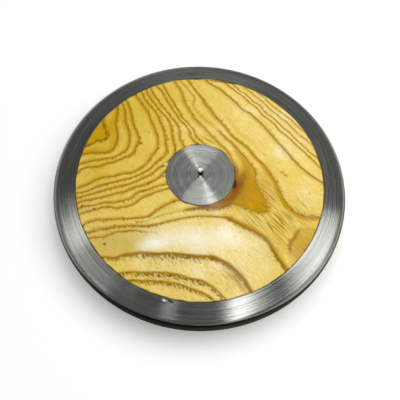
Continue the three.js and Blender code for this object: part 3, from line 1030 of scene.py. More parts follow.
@dataclass(frozen=True)
class VarnishedAsh:
    """Flat-sawn ash, a pale ring-porous hardwood, turned and given thick clear gloss varnish.

    Each year ends in dense amber wood and starts with a dark line of open pores, which show as short dashes
    where the fibres run out of the face. The varnish gives a clear reflection on top, made uneven by the
    fibres below. Scales are in waves per millimetre, and a share is of what it follows.
    """

    name: str
    marks: tuple[Mark, ...] = ()
    cream: str = "#FBF1D4"
    pale_straw: str = "#F1D98C"
    straw: str = "#E8CA60"
    gold: str = "#D2AA20"
    amber: str = "#CA9A00"
    line: str = "#B28200"
    speck: str = "#865C00"
    pore: str = "#7E5800"
    # colour of the dirt along the steel, which along the plate also stands in for painted shade under its
    # edge
    grime_and_shade: str = "#3C2608"
    wobble: float = 0.15             # mm that a growth line strays from its smooth run
    wobble_scale: float = 0.13
    fray: float = 0.2                # mm that the fibres pull a line's edge about
    fray_length: float = 4.0         # mm
    fray_width: float = 0.8          # mm
    fibre_width: float = 0.7         # mm; real fibres are finer and would not show
    fibre_length: float = 7.0        # mm
    fibre_swing: float = 0.65        # how far the fibres swing the ground tone
    cloud_scale: float = 0.07
    mottle_scale: float = 1.1
    cloud_swing: float = 0.5
    mean_swing: float = 0.82         # what fibres, clouds and mottle add to the tone on average
    straw_tones: Point = (0.22, 0.45)     # ground tones of pale straw and of straw; 0 is cream
    amber_core_share: float = 0.35   # the part of the amber's reach that is deepest
    line_inner_share: float = 0.45   # the part of a line's width that lies inside it
    line_fray: Point = (1.2, -0.05)  # its outer share of the width: change with the dashes, value at none
    line_core_share: float = 0.2     # the part of each side that is full dark
    line_fade_share: float = 1.9     # how far each side fades out
    speck_range: Point = (0.52, 0.78)     # dash noise where specks in a line start and are full dark
    deep_line: Point = (0.9, 0.6)    # line depth past which a line is dark all along, and how dark
    dash_width: float = 0.75         # mm; real pores are 0.2 mm wide and would not show
    dash_length: float = 2.6         # mm
    dash_start: float = 0.3          # mm past a growth line
    dash_level: Point = (-0.26, 0.68)     # noise past which a dash shows: change with strength, value at none
    dash_edge: float = 8.0           # how crisp a dash is
    dash_cover: Point = (0.45, 0.4)  # how dark a dash is: change with strength, value at none
    pore_tint: float = 0.2           # how far unresolved pores darken the wood between dashes
    groove_width: float = 0.8        # mm; real grooves are finer and would not show
    groove_length: float = 14.0      # mm
    groove_range: Point = (0.5, 0.6)      # fibre noise where a groove starts and is full dark
    pore_depth: float = 0.03         # mm
    plate_grime_and_shade: Point = (25.3, 26.1)     # mm from the axis, from full to none; grime and painted shade under the plate's edge
    rim_grime: Point = (91.5, 92.2)       # mm from the axis, from none to full
    rim_grime_strength: float = 0.8
    grime_and_shade_scale: float = 0.12
    grime_and_shade_range: Point = (0.42, 0.62)     # noise where a patch of grime and painted shade starts and is full
    varnish: float = 0.45            # how much of the surface the varnish film covers
    varnish_roughness: float = 0.12
    varnish_scale: float = 0.25
    varnish_relief: float = 0.06     # mm
    varnish_fibre_share: float = 0.25     # how much of the fibres' relief shows in the film

    def material(self) -> Material:
        """Builds the finish.

        Returns:
            The material.
        """
        material, tree = new_material(self.name)
        place = add_node(tree, "TexCoord").outputs["Object"]
        size = add_node(tree, "VectorMath", {0: place, "Scale": 1 / MM}, operation="SCALE").outputs[0]
        growth, figure, reach, fibre = (add_node(tree, "Attribute", attribute_name=name).outputs["Vector"]
                                        for name in ("growth", "figure", "reach", "fibre"))
        growth, figure, reach = (add_node(tree, "SeparateXYZ", {0: rows}).outputs
                                 for rows in (growth, figure, reach))
        fibres = self._fibre_noise(tree, fibre, self.fibre_length, self.fibre_width, 2.0)
        dashes = self._fibre_noise(tree, fibre, self.dash_length, self.dash_width, 0.0)
        past = self._past_line(tree, size, fibre, growth["X"], growth["Y"])
        ahead = add_node(tree, "Math", {0: growth["Y"], 1: past}, operation="SUBTRACT").outputs[0]
        ground = self._ground(tree, fibre, size, fibres)
        amber = self._amber(tree, ahead, figure["Y"], reach["X"])
        tinted = add_node(tree, "Mix", {0: amber, 6: ground, 7: linear(self.amber)},
                          data_type="RGBA").outputs[2]
        near_line = self._pores(tree, past, dashes, figure["X"], reach["Y"])
        grooves = self._grooves(tree, fibre, reach["Z"])
        pores = add_node(tree, "Math", {0: near_line, 1: grooves}, operation="MAXIMUM").outputs[0]
        pored = add_node(tree, "Mix", {0: pores, 6: tinted, 7: linear(self.pore)},
                         data_type="RGBA").outputs[2]
        line = self._line(tree, past, ahead, growth["Z"], figure["Z"], dashes)
        dark = self._line_colour(tree, dashes, figure["Z"])
        lined = add_node(tree, "Mix", {0: line, 6: pored, 7: dark}, data_type="RGBA").outputs[2]
        colour = self._grimed_and_shaded(tree, size, lay_marks(tree, size, lined, self.marks))
        sunk = add_node(tree, "Math", {0: pores, 1: line}, operation="ADD").outputs[0]
        relief = add_node(tree, "Bump", {
            "Height": sunk, "Distance": -self.pore_depth * MM, "Strength": 1.0}).outputs[0]
        shader = add_node(tree, "BsdfPrincipled", {
            "Base Color": colour, "Roughness": 0.5, "Specular IOR Level": 0.0, "Normal": relief,
            "Coat Weight": self.varnish, "Coat Roughness": self.varnish_roughness, "Coat IOR": 1.47,
            "Coat Normal": self._film_relief(tree, fibres, size)}).outputs[0]
        add_node(tree, "OutputMaterial", {"Surface": shader})
        return material

    @staticmethod
    def _fibre_noise(tree: Tree, fibre: Socket, length: float, width: float, detail: float) -> Socket:
        """Adds noise drawn out along the fibres.

        Args:
            tree: The finish's tree.
            fibre: Millimetres along and across the fibres.
            length: Length of a fleck in millimetres.
            width: Width of a fleck in millimetres.
            detail: The noise's detail.

        Returns:
            The noise, about 0.3 to 0.7.
        """
        drawn = add_node(tree, "VectorMath", {0: fibre, 1: (1 / length, 1 / width, 0)}, operation="MULTIPLY")
        return add_node(tree, "TexNoise", {
            "Vector": drawn.outputs[0], "Scale": 1.0, "Detail": detail, "Roughness": 0.6}).outputs[0]

    def _past_line(self, tree: Tree, size: Socket, fibre: Socket, ring: Socket, pitch: Socket) -> Socket:
        """Measures how far a place lies past the last growth line.

        Args:
            tree: The finish's tree.
            size: The place in millimetres.
            fibre: Millimetres along and across the fibres.
            ring: Ring number.
            pitch: Distance between rings in millimetres.

        Returns:
            The distance in millimetres.
        """
        stray = add_node(tree, "TexNoise", {
            "Vector": size, "Scale": self.wobble_scale, "Detail": 2.0}).outputs[0]
        strayed = add_node(tree, "Math", {0: stray, 1: 4 * self.wobble, 2: -2 * self.wobble},
                           operation="MULTIPLY_ADD").outputs[0]
        fray = self._fibre_noise(tree, fibre, self.fray_length, self.fray_width, 1.0)
        frayed = add_node(tree, "Math", {0: fray, 1: 4 * self.fray, 2: strayed},
                          operation="MULTIPLY_ADD").outputs[0]
        centred = add_node(tree, "Math", {0: frayed, 1: 2 * self.fray}, operation="SUBTRACT").outputs[0]
        share = add_node(tree, "Math", {0: centred, 1: pitch}, operation="DIVIDE").outputs[0]
        count = add_node(tree, "Math", {0: ring, 1: share}, operation="ADD").outputs[0]
        part = add_node(tree, "Math", {0: count}, operation="FRACT").outputs[0]
        return add_node(tree, "Math", {0: part, 1: pitch}, operation="MULTIPLY").outputs[0]

    def _ground(self, tree: Tree, fibre: Socket, size: Socket, fibres: Socket) -> Socket:
        """Mixes the wood's ground colour from cream through straw to gold, streaked by its fibres.

        Args:
            tree: The finish's tree.
            fibre: The fibre attribute, whose third value is the ground tone.
            size: The place in millimetres.
            fibres: Noise along the fibres.

        Returns:
            The ground colour.
        """
        tone = add_node(tree, "SeparateXYZ", {0: fibre}).outputs["Z"]
        cloud = add_node(tree, "TexNoise", {
            "Vector": size, "Scale": self.cloud_scale, "Detail": 3.0}).outputs[0]
        mottle = add_node(tree, "TexNoise", {
            "Vector": size, "Scale": self.mottle_scale, "Detail": 1.0}).outputs[0]
        mixed = add_node(tree, "Math", {0: tone, 1: self.mean_swing}, operation="SUBTRACT").outputs[0]
        swings = ((fibres, self.fibre_swing), (cloud, self.cloud_swing), (mottle, self.cloud_swing))
        for noise, swing in swings:
            mixed = add_node(tree, "Math", {0: noise, 1: swing, 2: mixed},
                             operation="MULTIPLY_ADD").outputs[0]
        ramp = add_node(tree, "ValToRGB", {0: mixed})
        stops = ramp.color_ramp.elements
        stops[0].position, stops[0].color = 0.0, linear(self.cream)
        stops[1].position, stops[1].color = 1.0, linear(self.gold)
        for position, colour in zip(self.straw_tones, (self.pale_straw, self.straw)):
            stops.new(position).color = linear(colour)
        return ramp.outputs[0]

    def _amber(self, tree: Tree, ahead: Socket, strength: Socket, reach: Socket) -> Socket:
        """Deepens the dense wood towards the next growth line.

        Args:
            tree: The finish's tree.
            ahead: Millimetres to the next growth line.
            strength: Strength of the amber.
            reach: Millimetres that it reaches back from the line.

        Returns:
            How much amber there is, from 0 to 1.
        """
        full = add_node(tree, "Math", {0: reach, 1: self.amber_core_share}, operation="MULTIPLY").outputs[0]
        near = add_node(tree, "MapRange", {
            "Value": ahead, "From Min": full, "From Max": reach, "To Min": 1.0, "To Max": 0.0},
            interpolation_type="SMOOTHSTEP").outputs[0]
        return add_node(tree, "Math", {0: near, 1: strength}, operation="MULTIPLY").outputs[0]

    def _pores(self, tree: Tree, past: Socket, dashes: Socket, strength: Socket, reach: Socket) -> Socket:
        """Draws the dashes of open pores, dense just past a growth line and sparser further out.

        Args:
            tree: The finish's tree.
            past: Millimetres past the last growth line.
            dashes: Noise in dashes along the fibres.
            strength: Strength of the pores.
            reach: Millimetres that they reach out from the line.

        Returns:
            How much of the pores' colour shows, from 0 to 1.
        """
        fall = add_node(tree, "MapRange", {
            "Value": past, "From Min": self.dash_start, "From Max": reach, "To Min": 1.0,
            "To Max": 0.0}).outputs[0]
        some = add_node(tree, "Math", {0: fall, 1: strength}, operation="MULTIPLY").outputs[0]
        level = add_node(tree, "Math", {0: some, 1: self.dash_level[0], 2: self.dash_level[1]},
                         operation="MULTIPLY_ADD").outputs[0]
        over = add_node(tree, "Math", {0: dashes, 1: level}, operation="SUBTRACT").outputs[0]
        dashed = add_node(tree, "Math", {0: over, 1: self.dash_edge}, operation="MULTIPLY",
                          use_clamp=True).outputs[0]
        tint = add_node(tree, "Math", {0: some, 1: self.pore_tint}, operation="MULTIPLY").outputs[0]
        cover = add_node(tree, "Math", {0: some, 1: self.dash_cover[0], 2: self.dash_cover[1]},
                         operation="MULTIPLY_ADD").outputs[0]
        return add_node(tree, "Math", {0: dashed, 1: cover, 2: tint}, operation="MULTIPLY_ADD",
                        use_clamp=True).outputs[0]

    def _grooves(self, tree: Tree, fibre: Socket, strength: Socket) -> Socket:
        """Draws long grooves along the fibres.

        Args:
            tree: The finish's tree.
            fibre: Millimetres along and across the fibres.
            strength: Strength of the grooves.

        Returns:
            How dark a groove is, from 0 to 1.
        """
        noise = self._fibre_noise(tree, fibre, self.groove_length, self.groove_width, 1.0)
        cut = add_node(tree, "MapRange", {
            "Value": noise, "From Min": self.groove_range[0], "From Max": self.groove_range[1]}).outputs[0]
        return add_node(tree, "Math", {0: cut, 1: strength}, operation="MULTIPLY", use_clamp=True).outputs[0]

    def _line(self, tree: Tree, past: Socket, ahead: Socket, width: Socket, depth: Socket,
              dashes: Socket) -> Socket:
        """Draws the dark growth line, which is clean on its inner edge and frays outwards.

        Args:
            tree: The finish's tree.
            past: Millimetres past the last growth line.
            ahead: Millimetres to the next one.
            width: The line's width in millimetres.
            depth: How dark it is.
            dashes: Noise in dashes along the fibres.

        Returns:
            How much of the line's colour shows, from 0 to 1.
        """
        sides = []
        outer = add_node(tree, "Math", {0: dashes, 1: self.line_fray[0], 2: self.line_fray[1]},
                         operation="MULTIPLY_ADD").outputs[0]
        for distance, part in ((ahead, self.line_inner_share), (past, outer)):
            far = add_node(tree, "Math", {0: width, 1: part}, operation="MULTIPLY").outputs[0]
            start, end = (add_node(tree, "Math", {0: far, 1: share}, operation="MULTIPLY").outputs[0]
                          for share in (self.line_core_share, self.line_fade_share))
            sides.append(add_node(tree, "MapRange", {
                "Value": distance, "From Min": start, "From Max": end, "To Min": 1.0, "To Max": 0.0},
                interpolation_type="SMOOTHSTEP").outputs[0])
        both = add_node(tree, "Math", {0: sides[0], 1: sides[1]}, operation="MAXIMUM").outputs[0]
        return add_node(tree, "Math", {0: both, 1: depth}, operation="MULTIPLY").outputs[0]

    def _line_colour(self, tree: Tree, dashes: Socket, depth: Socket) -> Socket:
        """Mixes the growth line's colour, darker in specks and all along the deepest lines.

        Args:
            tree: The finish's tree.
            dashes: Noise in dashes along the fibres.
            depth: How dark the line is.

        Returns:
            The line's colour.
        """
        specks = add_node(tree, "MapRange", {
            "Value": dashes, "From Min": self.speck_range[0], "From Max": self.speck_range[1]}).outputs[0]
        deep = add_node(tree, "MapRange", {
            "Value": depth, "From Min": self.deep_line[0], "From Max": 1.0,
            "To Max": self.deep_line[1]}).outputs[0]
        darkness = add_node(tree, "Math", {0: specks, 1: deep}, operation="MAXIMUM").outputs[0]
        return add_node(tree, "Mix", {0: darkness, 6: linear(self.line), 7: linear(self.speck)},
                        data_type="RGBA").outputs[2]

    def _grimed_and_shaded(self, tree: Tree, size: Socket, colour: Socket) -> Socket:
        """Darkens the wood in patches along the steel of the plate and of the rim: dirt along both, and along
        the plate also painted shade under its edge.

        Args:
            tree: The finish's tree.
            size: The place in millimetres.
            colour: The colour below.

        Returns:
            The colour with the grime and painted shade.
        """
        flat = add_node(tree, "VectorMath", {0: size, 1: (1, 1, 0)}, operation="MULTIPLY").outputs[0]
        radius = add_node(tree, "VectorMath", {0: flat}, operation="LENGTH").outputs["Value"]
        at_plate = add_node(tree, "MapRange", {
            "Value": radius, "From Min": self.plate_grime_and_shade[0], "From Max": self.plate_grime_and_shade[1],
            "To Min": 1.0, "To Max": 0.0}).outputs[0]
        at_rim = add_node(tree, "MapRange", {
            "Value": radius, "From Min": self.rim_grime[0], "From Max": self.rim_grime[1],
            "To Min": 0.0, "To Max": self.rim_grime_strength}).outputs[0]
        seam = add_node(tree, "Math", {0: at_plate, 1: at_rim}, operation="MAXIMUM").outputs[0]
        patches = add_node(tree, "TexNoise", {
            "Vector": size, "Scale": self.grime_and_shade_scale, "Detail": 3.0}).outputs[0]
        patchy = add_node(tree, "MapRange", {
            "Value": patches, "From Min": self.grime_and_shade_range[0], "From Max": self.grime_and_shade_range[1]}).outputs[0]
        cover = add_node(tree, "Math", {0: seam, 1: patchy}, operation="MULTIPLY").outputs[0]
        return add_node(tree, "Mix", {0: cover, 6: colour, 7: linear(self.grime_and_shade)},
                        data_type="RGBA").outputs[2]

    def _film_relief(self, tree: Tree, fibres: Socket, size: Socket) -> Socket:
        """Gives the varnish film the slight unevenness of the fibres below it.

        Args:
            tree: The finish's tree.
            fibres: Noise along the fibres.
            size: The place in millimetres.

        Returns:
            The film's normal.
        """
        swell = add_node(tree, "TexNoise", {
            "Vector": size, "Scale": self.varnish_scale, "Detail": 2.0}).outputs[0]
        mixed = add_node(tree, "Math", {0: fibres, 1: self.varnish_fibre_share, 2: swell},
                         operation="MULTIPLY_ADD").outputs[0]
        return add_node(tree, "Bump", {
            "Height": mixed, "Distance": self.varnish_relief * MM, "Strength": 1.0}).outputs[0]


UPPER_MARKS = (
    Mark((-65.5, -54), 2.0, 1.7, 0, "#3E2F14", 0.95, 0.3),
    Mark((-37, -8), 3.4, 1.6, 20, "#C4561C", 0.8),
    Mark((60.3, 7.2), 3.0, 2.4, 0, "#BE901C", 0.85, 0.4),
    Mark((62.8, 5.2), 3.6, 2.2, -20, "#BE901C", 0.85, 0.4),
    Mark((13.8, 37.2), 2.8, 2.2, -50, "#9A8E68", 0.8),
    Mark((-40.5, 35.5), 2.0, 1.4, 0, "#98885A", 0.6),
    Mark((5, 29), 10.0, 1.3, -32, "#9A6E10", 0.7, 0.6),
    # Painted shade: a faint grey-brown wash over the lower left
    Mark((-55, -53), 56.0, 16.0, 2, "#A08A52", 0.3, 1.0),
    # Painted highlights: the varnish glare below the plate and at the lower left
    Mark((2, -49), 60.0, 13.0, 0, "#FFF8E2", 0.6, 1.0),
    Mark((-31, -54), 17.0, 7.0, 8, "#FFFDEE", 0.6, 1.0),
    Mark((29.5, -78), 22.0, 3.2, -47, "#A06C08", 0.55, 0.8),
    Mark((29, -8), 14.0, 26.0, -10, "#9A6206", 0.6, 1.0),
    Mark((46, -8), 16.0, 24.0, -20, "#C08600", 0.5, 1.0),
    Mark((76, -53), 11.0, 19.0, -32, "#B47A06", 0.6, 0.9),
    Mark((26.2, -11), 26.0, 6.0, 66, "#7E480A", 0.9, 0.9),
    Mark((16, -21.5), 20.0, 6.0, 36, "#84520E", 0.85, 0.9),
    Mark((25.2, -6.4), 9.0, 3.2, 82, "#4E1804", 1.0, 0.5),
    Mark((26, 4), 13.0, 3.6, 98, "#8E5C0A", 0.85, 0.8),
    Mark((5, -26.2), 22.0, 2.0, 8, "#7A4E14", 0.85, 0.7),
    Mark((-26, 7), 3.2, 2.6, 40, "#D8CBA0", 0.9),
    Mark((-27, 5.4), 3.4, 0.9, 30, "#4E4234", 0.8, 0.3),
    Mark((-25.6, -1.4), 2.4, 1.6, 60, "#D8CBA0", 0.9),
    Mark((-26.4, -2.8), 3.0, 0.9, 30, "#5A4A34", 0.8, 0.3),
    Mark((-8, 91.6), 12.0, 1.6, 0, "#4E3C14", 0.9, 0.3),
    Mark((15, 89.8), 26.0, 1.5, -5, "#5A4416", 0.85, 0.3),
    Mark((-81.5, 6), 18.0, 0.8, -43, "#B59230", 0.6, 0.3),
    Mark((-85.2, -24.7), 2.4, 1.6, 30, "#4A3A14", 0.8, 0.3),
    Mark((-75.7, -27.5), 2.4, 1.5, -20, "#4A3A14", 0.8, 0.3),
    Mark((-83, -41), 3.0, 1.4, 60, "#40340F", 0.8, 0.3),
    Mark((-45.7, 25.5), 2.8, 2.0, 45, "#7A5808", 0.8, 0.4),
    Mark((-73.4, 36.5), 3.0, 2.2, 60, "#8A6208", 0.8, 0.5),
    Mark((-73, 31.5), 3.4, 2.2, 20, "#8A6208", 0.8, 0.5),
    Mark((-79.5, 30), 3.6, 2.0, 0, "#8A6208", 0.8, 0.5),
    Mark((-86, 26.7), 4.0, 1.8, 20, "#8A6208", 0.8, 0.5),
    Mark((-76, 44), 4.0, 1.8, 110, "#8A6208", 0.8, 0.5),
    Mark((3.5, -80.5), 3.6, 1.8, -20, "#7A5208", 0.85, 0.4),
    Mark((14, -85), 2.4, 1.6, -40, "#7A5208", 0.8, 0.4),
)

LOWER_MARKS = (
    Mark((48, -30), 2.0, 1.6, 15, "#4A3A14", 0.8, 0.3),
    Mark((-20, 62), 3.4, 1.8, -30, "#A67A1A", 0.7),
    Mark((-25.9, 8), 9.0, 3.6, 110, "#8A5418", 0.6, 0.8),
)


@dataclass(frozen=True)
class SteelRim:
    """The T-section rim: a round edge, two crowned faces, a wall for the wood and a drilled tongue."""

    form: DiscusForm
    edge_steps: int = 30
    face_steps: int = 10
    seam_bevel: float = 0.22
    tongue_bevel: float = 0.5
    drill_overrun: float = 1.0
    nick_centre: float = -100.0      # degrees round from +X
    nick_length: float = 5.0         # mm each way along the edge
    nick_width: float = 1.6          # mm out from the edge
    nick_depth: float = 0.5          # mm
    nick_ripple: float = 0.6         # how uneven the nick is, as a share of its depth
    nick_ripple_rate: float = 2.9    # radians in a millimetre
    finish: TurnedSteel = TurnedSteel(
        # Painted shade along the edge's middle plane, fuller towards the camera (-Y), not oil
        "turned_rim_steel", oil_and_shade_height=5.6, oil_and_shade_top_front=(-0.1, 0.95), oil_and_shade_foot_front=(-0.1, 0.3),
        # Past 108.7 mm the outermost edge is darkened as painted shade; the dirt along the wood is real
        dirt_radius=93.0, dark_edge_radius=108.7, marks=(
            # Painted highlights (white) and a painted shadow (dark) at the nick
            Mark((-21, -92.3), 3.4, 0.8, -14, "#FFFFFF", 0.9, 0.3, 9, 16),
            Mark((-14.6, -94.0), 2.0, 0.9, 50, "#FFFFFF", 0.9, 0.3, 9, 16),
            Mark((-16.2, -92.9), 5.0, 1.2, -28, "#14120E", 1.0, 0.3, 9, 16)))

    def section(self) -> list[Point]:
        """Lays out the rim's section.

        Returns:
            Its corners, round from the underside of the edge.
        """
        form = self.form
        shoulder = form.side_curve()[2]
        end = math.atan2(shoulder[1], shoulder[0] - form.edge_centre)
        edge = [(form.edge_centre + form.edge_radius * math.cos(a), form.edge_radius * math.sin(a))
                for a in np.linspace(-end, end, self.edge_steps + 1).tolist()]
        upper = form.face_points(shoulder[0], form.wood_radius + self.seam_bevel, self.face_steps)[1:]
        upper.append((form.wood_radius, form.height(form.wood_radius) - self.seam_bevel))
        lower = [(radius, -height) for radius, height in reversed(upper)]
        inner = form.wood_radius - form.tongue_reach
        half, bevel = form.tongue_half, self.tongue_bevel
        tongue = [(form.wood_radius, half), (inner + bevel, half), (inner, half - bevel),
                  (inner, bevel - half), (inner + bevel, -half), (form.wood_radius, -half)]
        return edge + upper + tongue + lower

    def build(self) -> Piece:
        """Turns the rim, drills its tongue, nicks its inner edge and dresses it.

        Returns:
            The rim.
        """
        piece = turn_section("steel_rim", self.section(), self.form.turn_steps)
        reach = self.form.tongue_half + self.drill_overrun
        cut_away(piece, [self.form.pin_drills(-reach, reach)])
        self._nick(piece)
        piece.data.materials.append(self.finish.material())
        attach(piece, BODY)
        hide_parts("rim")
        return piece

    def _nick(self, piece: Piece) -> None:
        """Knocks a nick into the inner edge of the upper face.

        Args:
            piece: The rim.
        """
        points = place_points(piece)
        radius = np.hypot(points[:, 0], points[:, 1])
        angle = np.degrees(np.arctan2(points[:, 1], points[:, 0]))
        along = np.radians(angle - self.nick_centre) * radius
        outwards = radius - self.form.wood_radius
        near = np.clip(1 - np.abs(along) / self.nick_length, 0, 1)
        near *= np.clip(1 - outwards / self.nick_width, 0, 1)
        near *= (points[:, 2] > self.form.tongue_half + self.drill_overrun) & (outwards > -MERGE_DISTANCE)
        ripple = 1 + self.nick_ripple * np.sin(along * self.nick_ripple_rate)
        points[:, 2] -= self.nick_depth * near * ripple
        move_points(piece, points)


@dataclass(frozen=True)
class WoodSide:
    """A turned wooden side: a spigot and a ledge for the rim's tongue, the crowned face and the recesses."""

    form: DiscusForm
    face: Face
    figure: BoardFigure
    finish: VarnishedAsh
    face_steps: int = 70
    base_points: int = 9
    base: float = 0.1
    edge_bevel: float = 0.3
    recess_bevel: float = 0.1
    recess_floor: float = 18.92
    pocket_radius: float = 18.3
    pocket_floor: float = 17.12
    sleeve_hole: float = 7.75
    drill_overrun: float = 1.0
    drill_top: float = 6.4

    def section(self) -> list[Point]:
        """Lays out the side's section.

        Returns:
            Its corners, out along the base and back over the face.
        """
        form = self.form
        ledge = form.tongue_half + form.wood_gap
        wall = form.wood_radius - form.wood_gap
        spigot = form.wood_radius - form.tongue_reach - form.wood_gap
        steps = np.linspace(self.sleeve_hole, spigot, self.base_points).tolist()
        base = [(radius, self.base) for radius in steps]
        return [
            *base,
            (spigot, ledge),
            (wall, ledge),
            (wall, form.height(wall) - self.edge_bevel),
            *form.face_points(wall - self.edge_bevel, form.taper_start, self.face_steps),
            (form.plate_recess + self.recess_bevel, form.wood_flat),
            (form.plate_recess, form.wood_flat - self.recess_bevel),
            (form.plate_recess, self.recess_floor),
            (self.pocket_radius, self.recess_floor),
            (self.pocket_radius, self.pocket_floor),
            (self.sleeve_hole, self.pocket_floor),
        ]

    def build(self) -> Piece:
        """Turns the side, drills it for the key pins, lays the board's figure on it and dresses it.

        Returns:
            The side.
        """
        node = f"{self.face.value}_side"
        piece = turn_section(f"{self.face.value}_wood_side", self.section(), self.form.turn_steps)
        drill_start = self.form.tongue_half - self.drill_overrun
        cut_away(piece, [self.form.pin_drills(drill_start, self.drill_top)])
        self.figure.lay_on(piece)
        if self.face is Face.LOWER:
            turn_over(piece)
        piece.data.materials.append(self.finish.material())
        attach(piece, BODY)
        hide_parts(node)
        return piece


@dataclass(frozen=True)
class CentrePlate:
    """A turned steel centre plate with a countersunk hole and two shallow rings scribed round it."""

    form: DiscusForm
    face: Face
    radius: float = 25.0
    seat: float = 19.02
    bevel: float = 0.4
    hole: float = 3.3
    sink_radius: float = 6.18
    sink_land: float = 0.3
    sink_bottom: float = 19.32
    face_inner: float = 12.0
    face_rings: int = 8
    ring_radii: tuple[float, ...] = (7.3, 9.4)
    ring_width: float = 0.3
    ring_depth: float = 0.08
    steps: int = 240
    finish: TurnedSteel = TurnedSteel(
        "faced_plate_steel", "#CBCDC7", "#ACAEA8", roughness=0.21, anisotropy=1.0, groove_pitch=0.8,
        groove_arc=80, groove_depth=0.012)

    def section(self) -> list[Point]:
        """Lays out the plate's section.

        Returns:
            Its corners, out along the seat and back over the face.
        """
        top = self.form.half_thickness
        half = self.ring_width / 2
        rings = []
        for radius in sorted(self.ring_radii, reverse=True):
            rings += [(radius + half, top), (radius, top - self.ring_depth), (radius - half, top)]
        radii = np.linspace(self.radius - self.bevel, self.face_inner, self.face_rings)
        return [
            (self.hole, self.seat),
            (self.radius - self.bevel, self.seat),
            (self.radius, self.seat + self.bevel),
            (self.radius, top - self.bevel),
            *((radius, top) for radius in radii.tolist()),
            *rings,
            (self.sink_radius, top),
            (self.sink_radius, top - self.sink_land),
            (self.hole, self.sink_bottom),
        ]

    def build(self) -> Piece:
        """Turns and dresses the plate.

        Returns:
            The plate.
        """
        piece = turn_section(f"{self.face.value}_turned_plate", self.section(), self.steps)
        if self.face is Face.LOWER:
            turn_over(piece)
        piece.data.materials.append(self.finish.material())
        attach(piece, BODY)
        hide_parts(f"{self.face.value}_centre_plate")
        return piece


@dataclass(frozen=True)
class CentreScrew:
    """A countersunk M6 screw with a cross recess, its head faced off just below the plate."""

    form: DiscusForm
    face: Face
    recess_angle: float              # degrees from +X
    radius: float = 3.0
    thread_depth: float = 0.5
    thread_pitch: float = 1.0
    length: float = 16.0
    tip_chamfer: float = 0.3
    tip_land: float = 0.5
    head_radius: float = 6.1
    head_land: float = 0.3
    head_sink: float = 0.05
    head_bevel: float = 0.04
    head_ring: float = 4.0
    recess_span: float = 6.4
    recess_floor_span: float = 2.6
    recess_wing: float = 1.5
    recess_floor_wing: float = 0.9
    recess_core: float = 1.65
    recess_depth: float = 2.7
    recess_point: float = 0.7
    recess_bevel: float = 0.15
    cut_overrun: float = 1.0
    core_steps: int = 24
    steps: int = 96
    finish: TurnedSteel = TurnedSteel(
        "faced_screw_steel", "#CFD1CB", "#A6A8A2", groove_pitch=0.7, groove_arc=90, groove_depth=0.012,
        # Painted shade, partly oil, fills the cross recess below the head's face, left off at its centre
        oil_and_shade_height=22.3, oil_and_shade_soft=0.3, unshaded_radius=1.0, marks=(
            # Painted highlights: glints above the cross and in it
            Mark((0, 3.9), 3.2, 2.2, 0, "#FFFFFF", 1.0, 0.3),
            Mark((0.2, -1.4), 2.0, 1.6, 0, "#FFFFFF", 1.0, 0.3)))

    @property
    def head_face(self) -> float:
        """Height of the head's face."""
        return self.form.half_thickness - self.head_sink

    def section(self) -> list[Point]:
        """Lays out the screw's section.

        Returns:
            Its corners, from the tip on the axis up to the head's face.
        """
        cone_top = self.form.half_thickness - self.head_land
        neck = cone_top - (self.head_radius - self.radius)
        tip = self.head_face - self.length
        root = self.radius - self.thread_depth
        points = [(0.0, tip), (root - self.tip_chamfer, tip)]
        height = tip + self.tip_land
        while height < neck - 2 * self.thread_pitch:
            points += [(root, height), (self.radius, height + self.thread_pitch / 2)]
            height += self.thread_pitch
        return points + [
            (root, height),
            (self.radius, height + self.thread_pitch),
            (self.radius, neck),
            (self.head_radius, cone_top),
            (self.head_radius, self.head_face - self.head_bevel),
            (self.head_radius - self.head_bevel, self.head_face),
            (self.head_ring, self.head_face),
            (0.0, self.head_face),
        ]

    def build(self) -> Piece:
        """Turns the screw, cuts its recess and dresses it.

        Returns:
            The screw.
        """
        piece = turn_section(f"{self.face.value}_cross_screw", self.section(), self.steps)
        cut_away(piece, [self._wings(0), self._wings(90), self._core()])
        if self.face is Face.LOWER:
            turn_over(piece)
        piece.data.materials.append(self.finish.material())
        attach(piece, BODY)
        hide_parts(f"{self.face.value}_centre_screw")
        return piece

    def _wings(self, turn: float) -> Piece:
        """Shapes the cutter for one pair of wings: a bar whose ends and cheeks draw in towards the floor.

        Args:
            turn: Degrees round from the recess's own angle.

        Returns:
            The cutter.
        """
        slope = self.cut_overrun / self.recess_depth
        span = self.recess_span + (self.recess_span - self.recess_floor_span) * slope
        wing = self.recess_wing + (self.recess_wing - self.recess_floor_wing) * slope
        height = self.recess_depth + self.cut_overrun
        middle = self.head_face + self.cut_overrun - height / 2
        deselect_all()
        bpy.ops.mesh.primitive_cube_add(size=1, location=(0, 0, middle * MM))
        cutter = bpy.context.object
        cutter.scale = (span * MM, wing * MM, height * MM)
        bpy.ops.object.transform_apply(location=True, rotation=True, scale=True)
        points = place_points(cutter)
        low = points[:, 2] < self.head_face
        points[low, 0] *= self.recess_floor_span / span
        points[low, 1] *= self.recess_floor_wing / wing
        move_points(cutter, points)
        bpy.ops.object.mode_set(mode="EDIT")
        bpy.ops.mesh.select_all(action="SELECT")
        bpy.ops.mesh.bevel(offset=self.recess_bevel * MM, segments=2, affect="EDGES")
        angle = -math.radians(self.recess_angle + turn)
        bpy.ops.transform.rotate(value=angle, orient_axis="Z", center_override=(0, 0, 0))
        bpy.ops.object.mode_set(mode="OBJECT")
        return cutter

    def _core(self) -> Piece:
        """Turns the cutter for the recess's round core, which ends in a cone for the driver's tip.

        Returns:
            The cutter.
        """
        floor = self.head_face - self.recess_depth
        top = self.form.half_thickness + self.cut_overrun
        return turn_section("core_cutter", [
            (0, floor - self.recess_point), (self.recess_floor_span / 2, floor), (self.recess_core, top),
            (0, top)], self.core_steps)


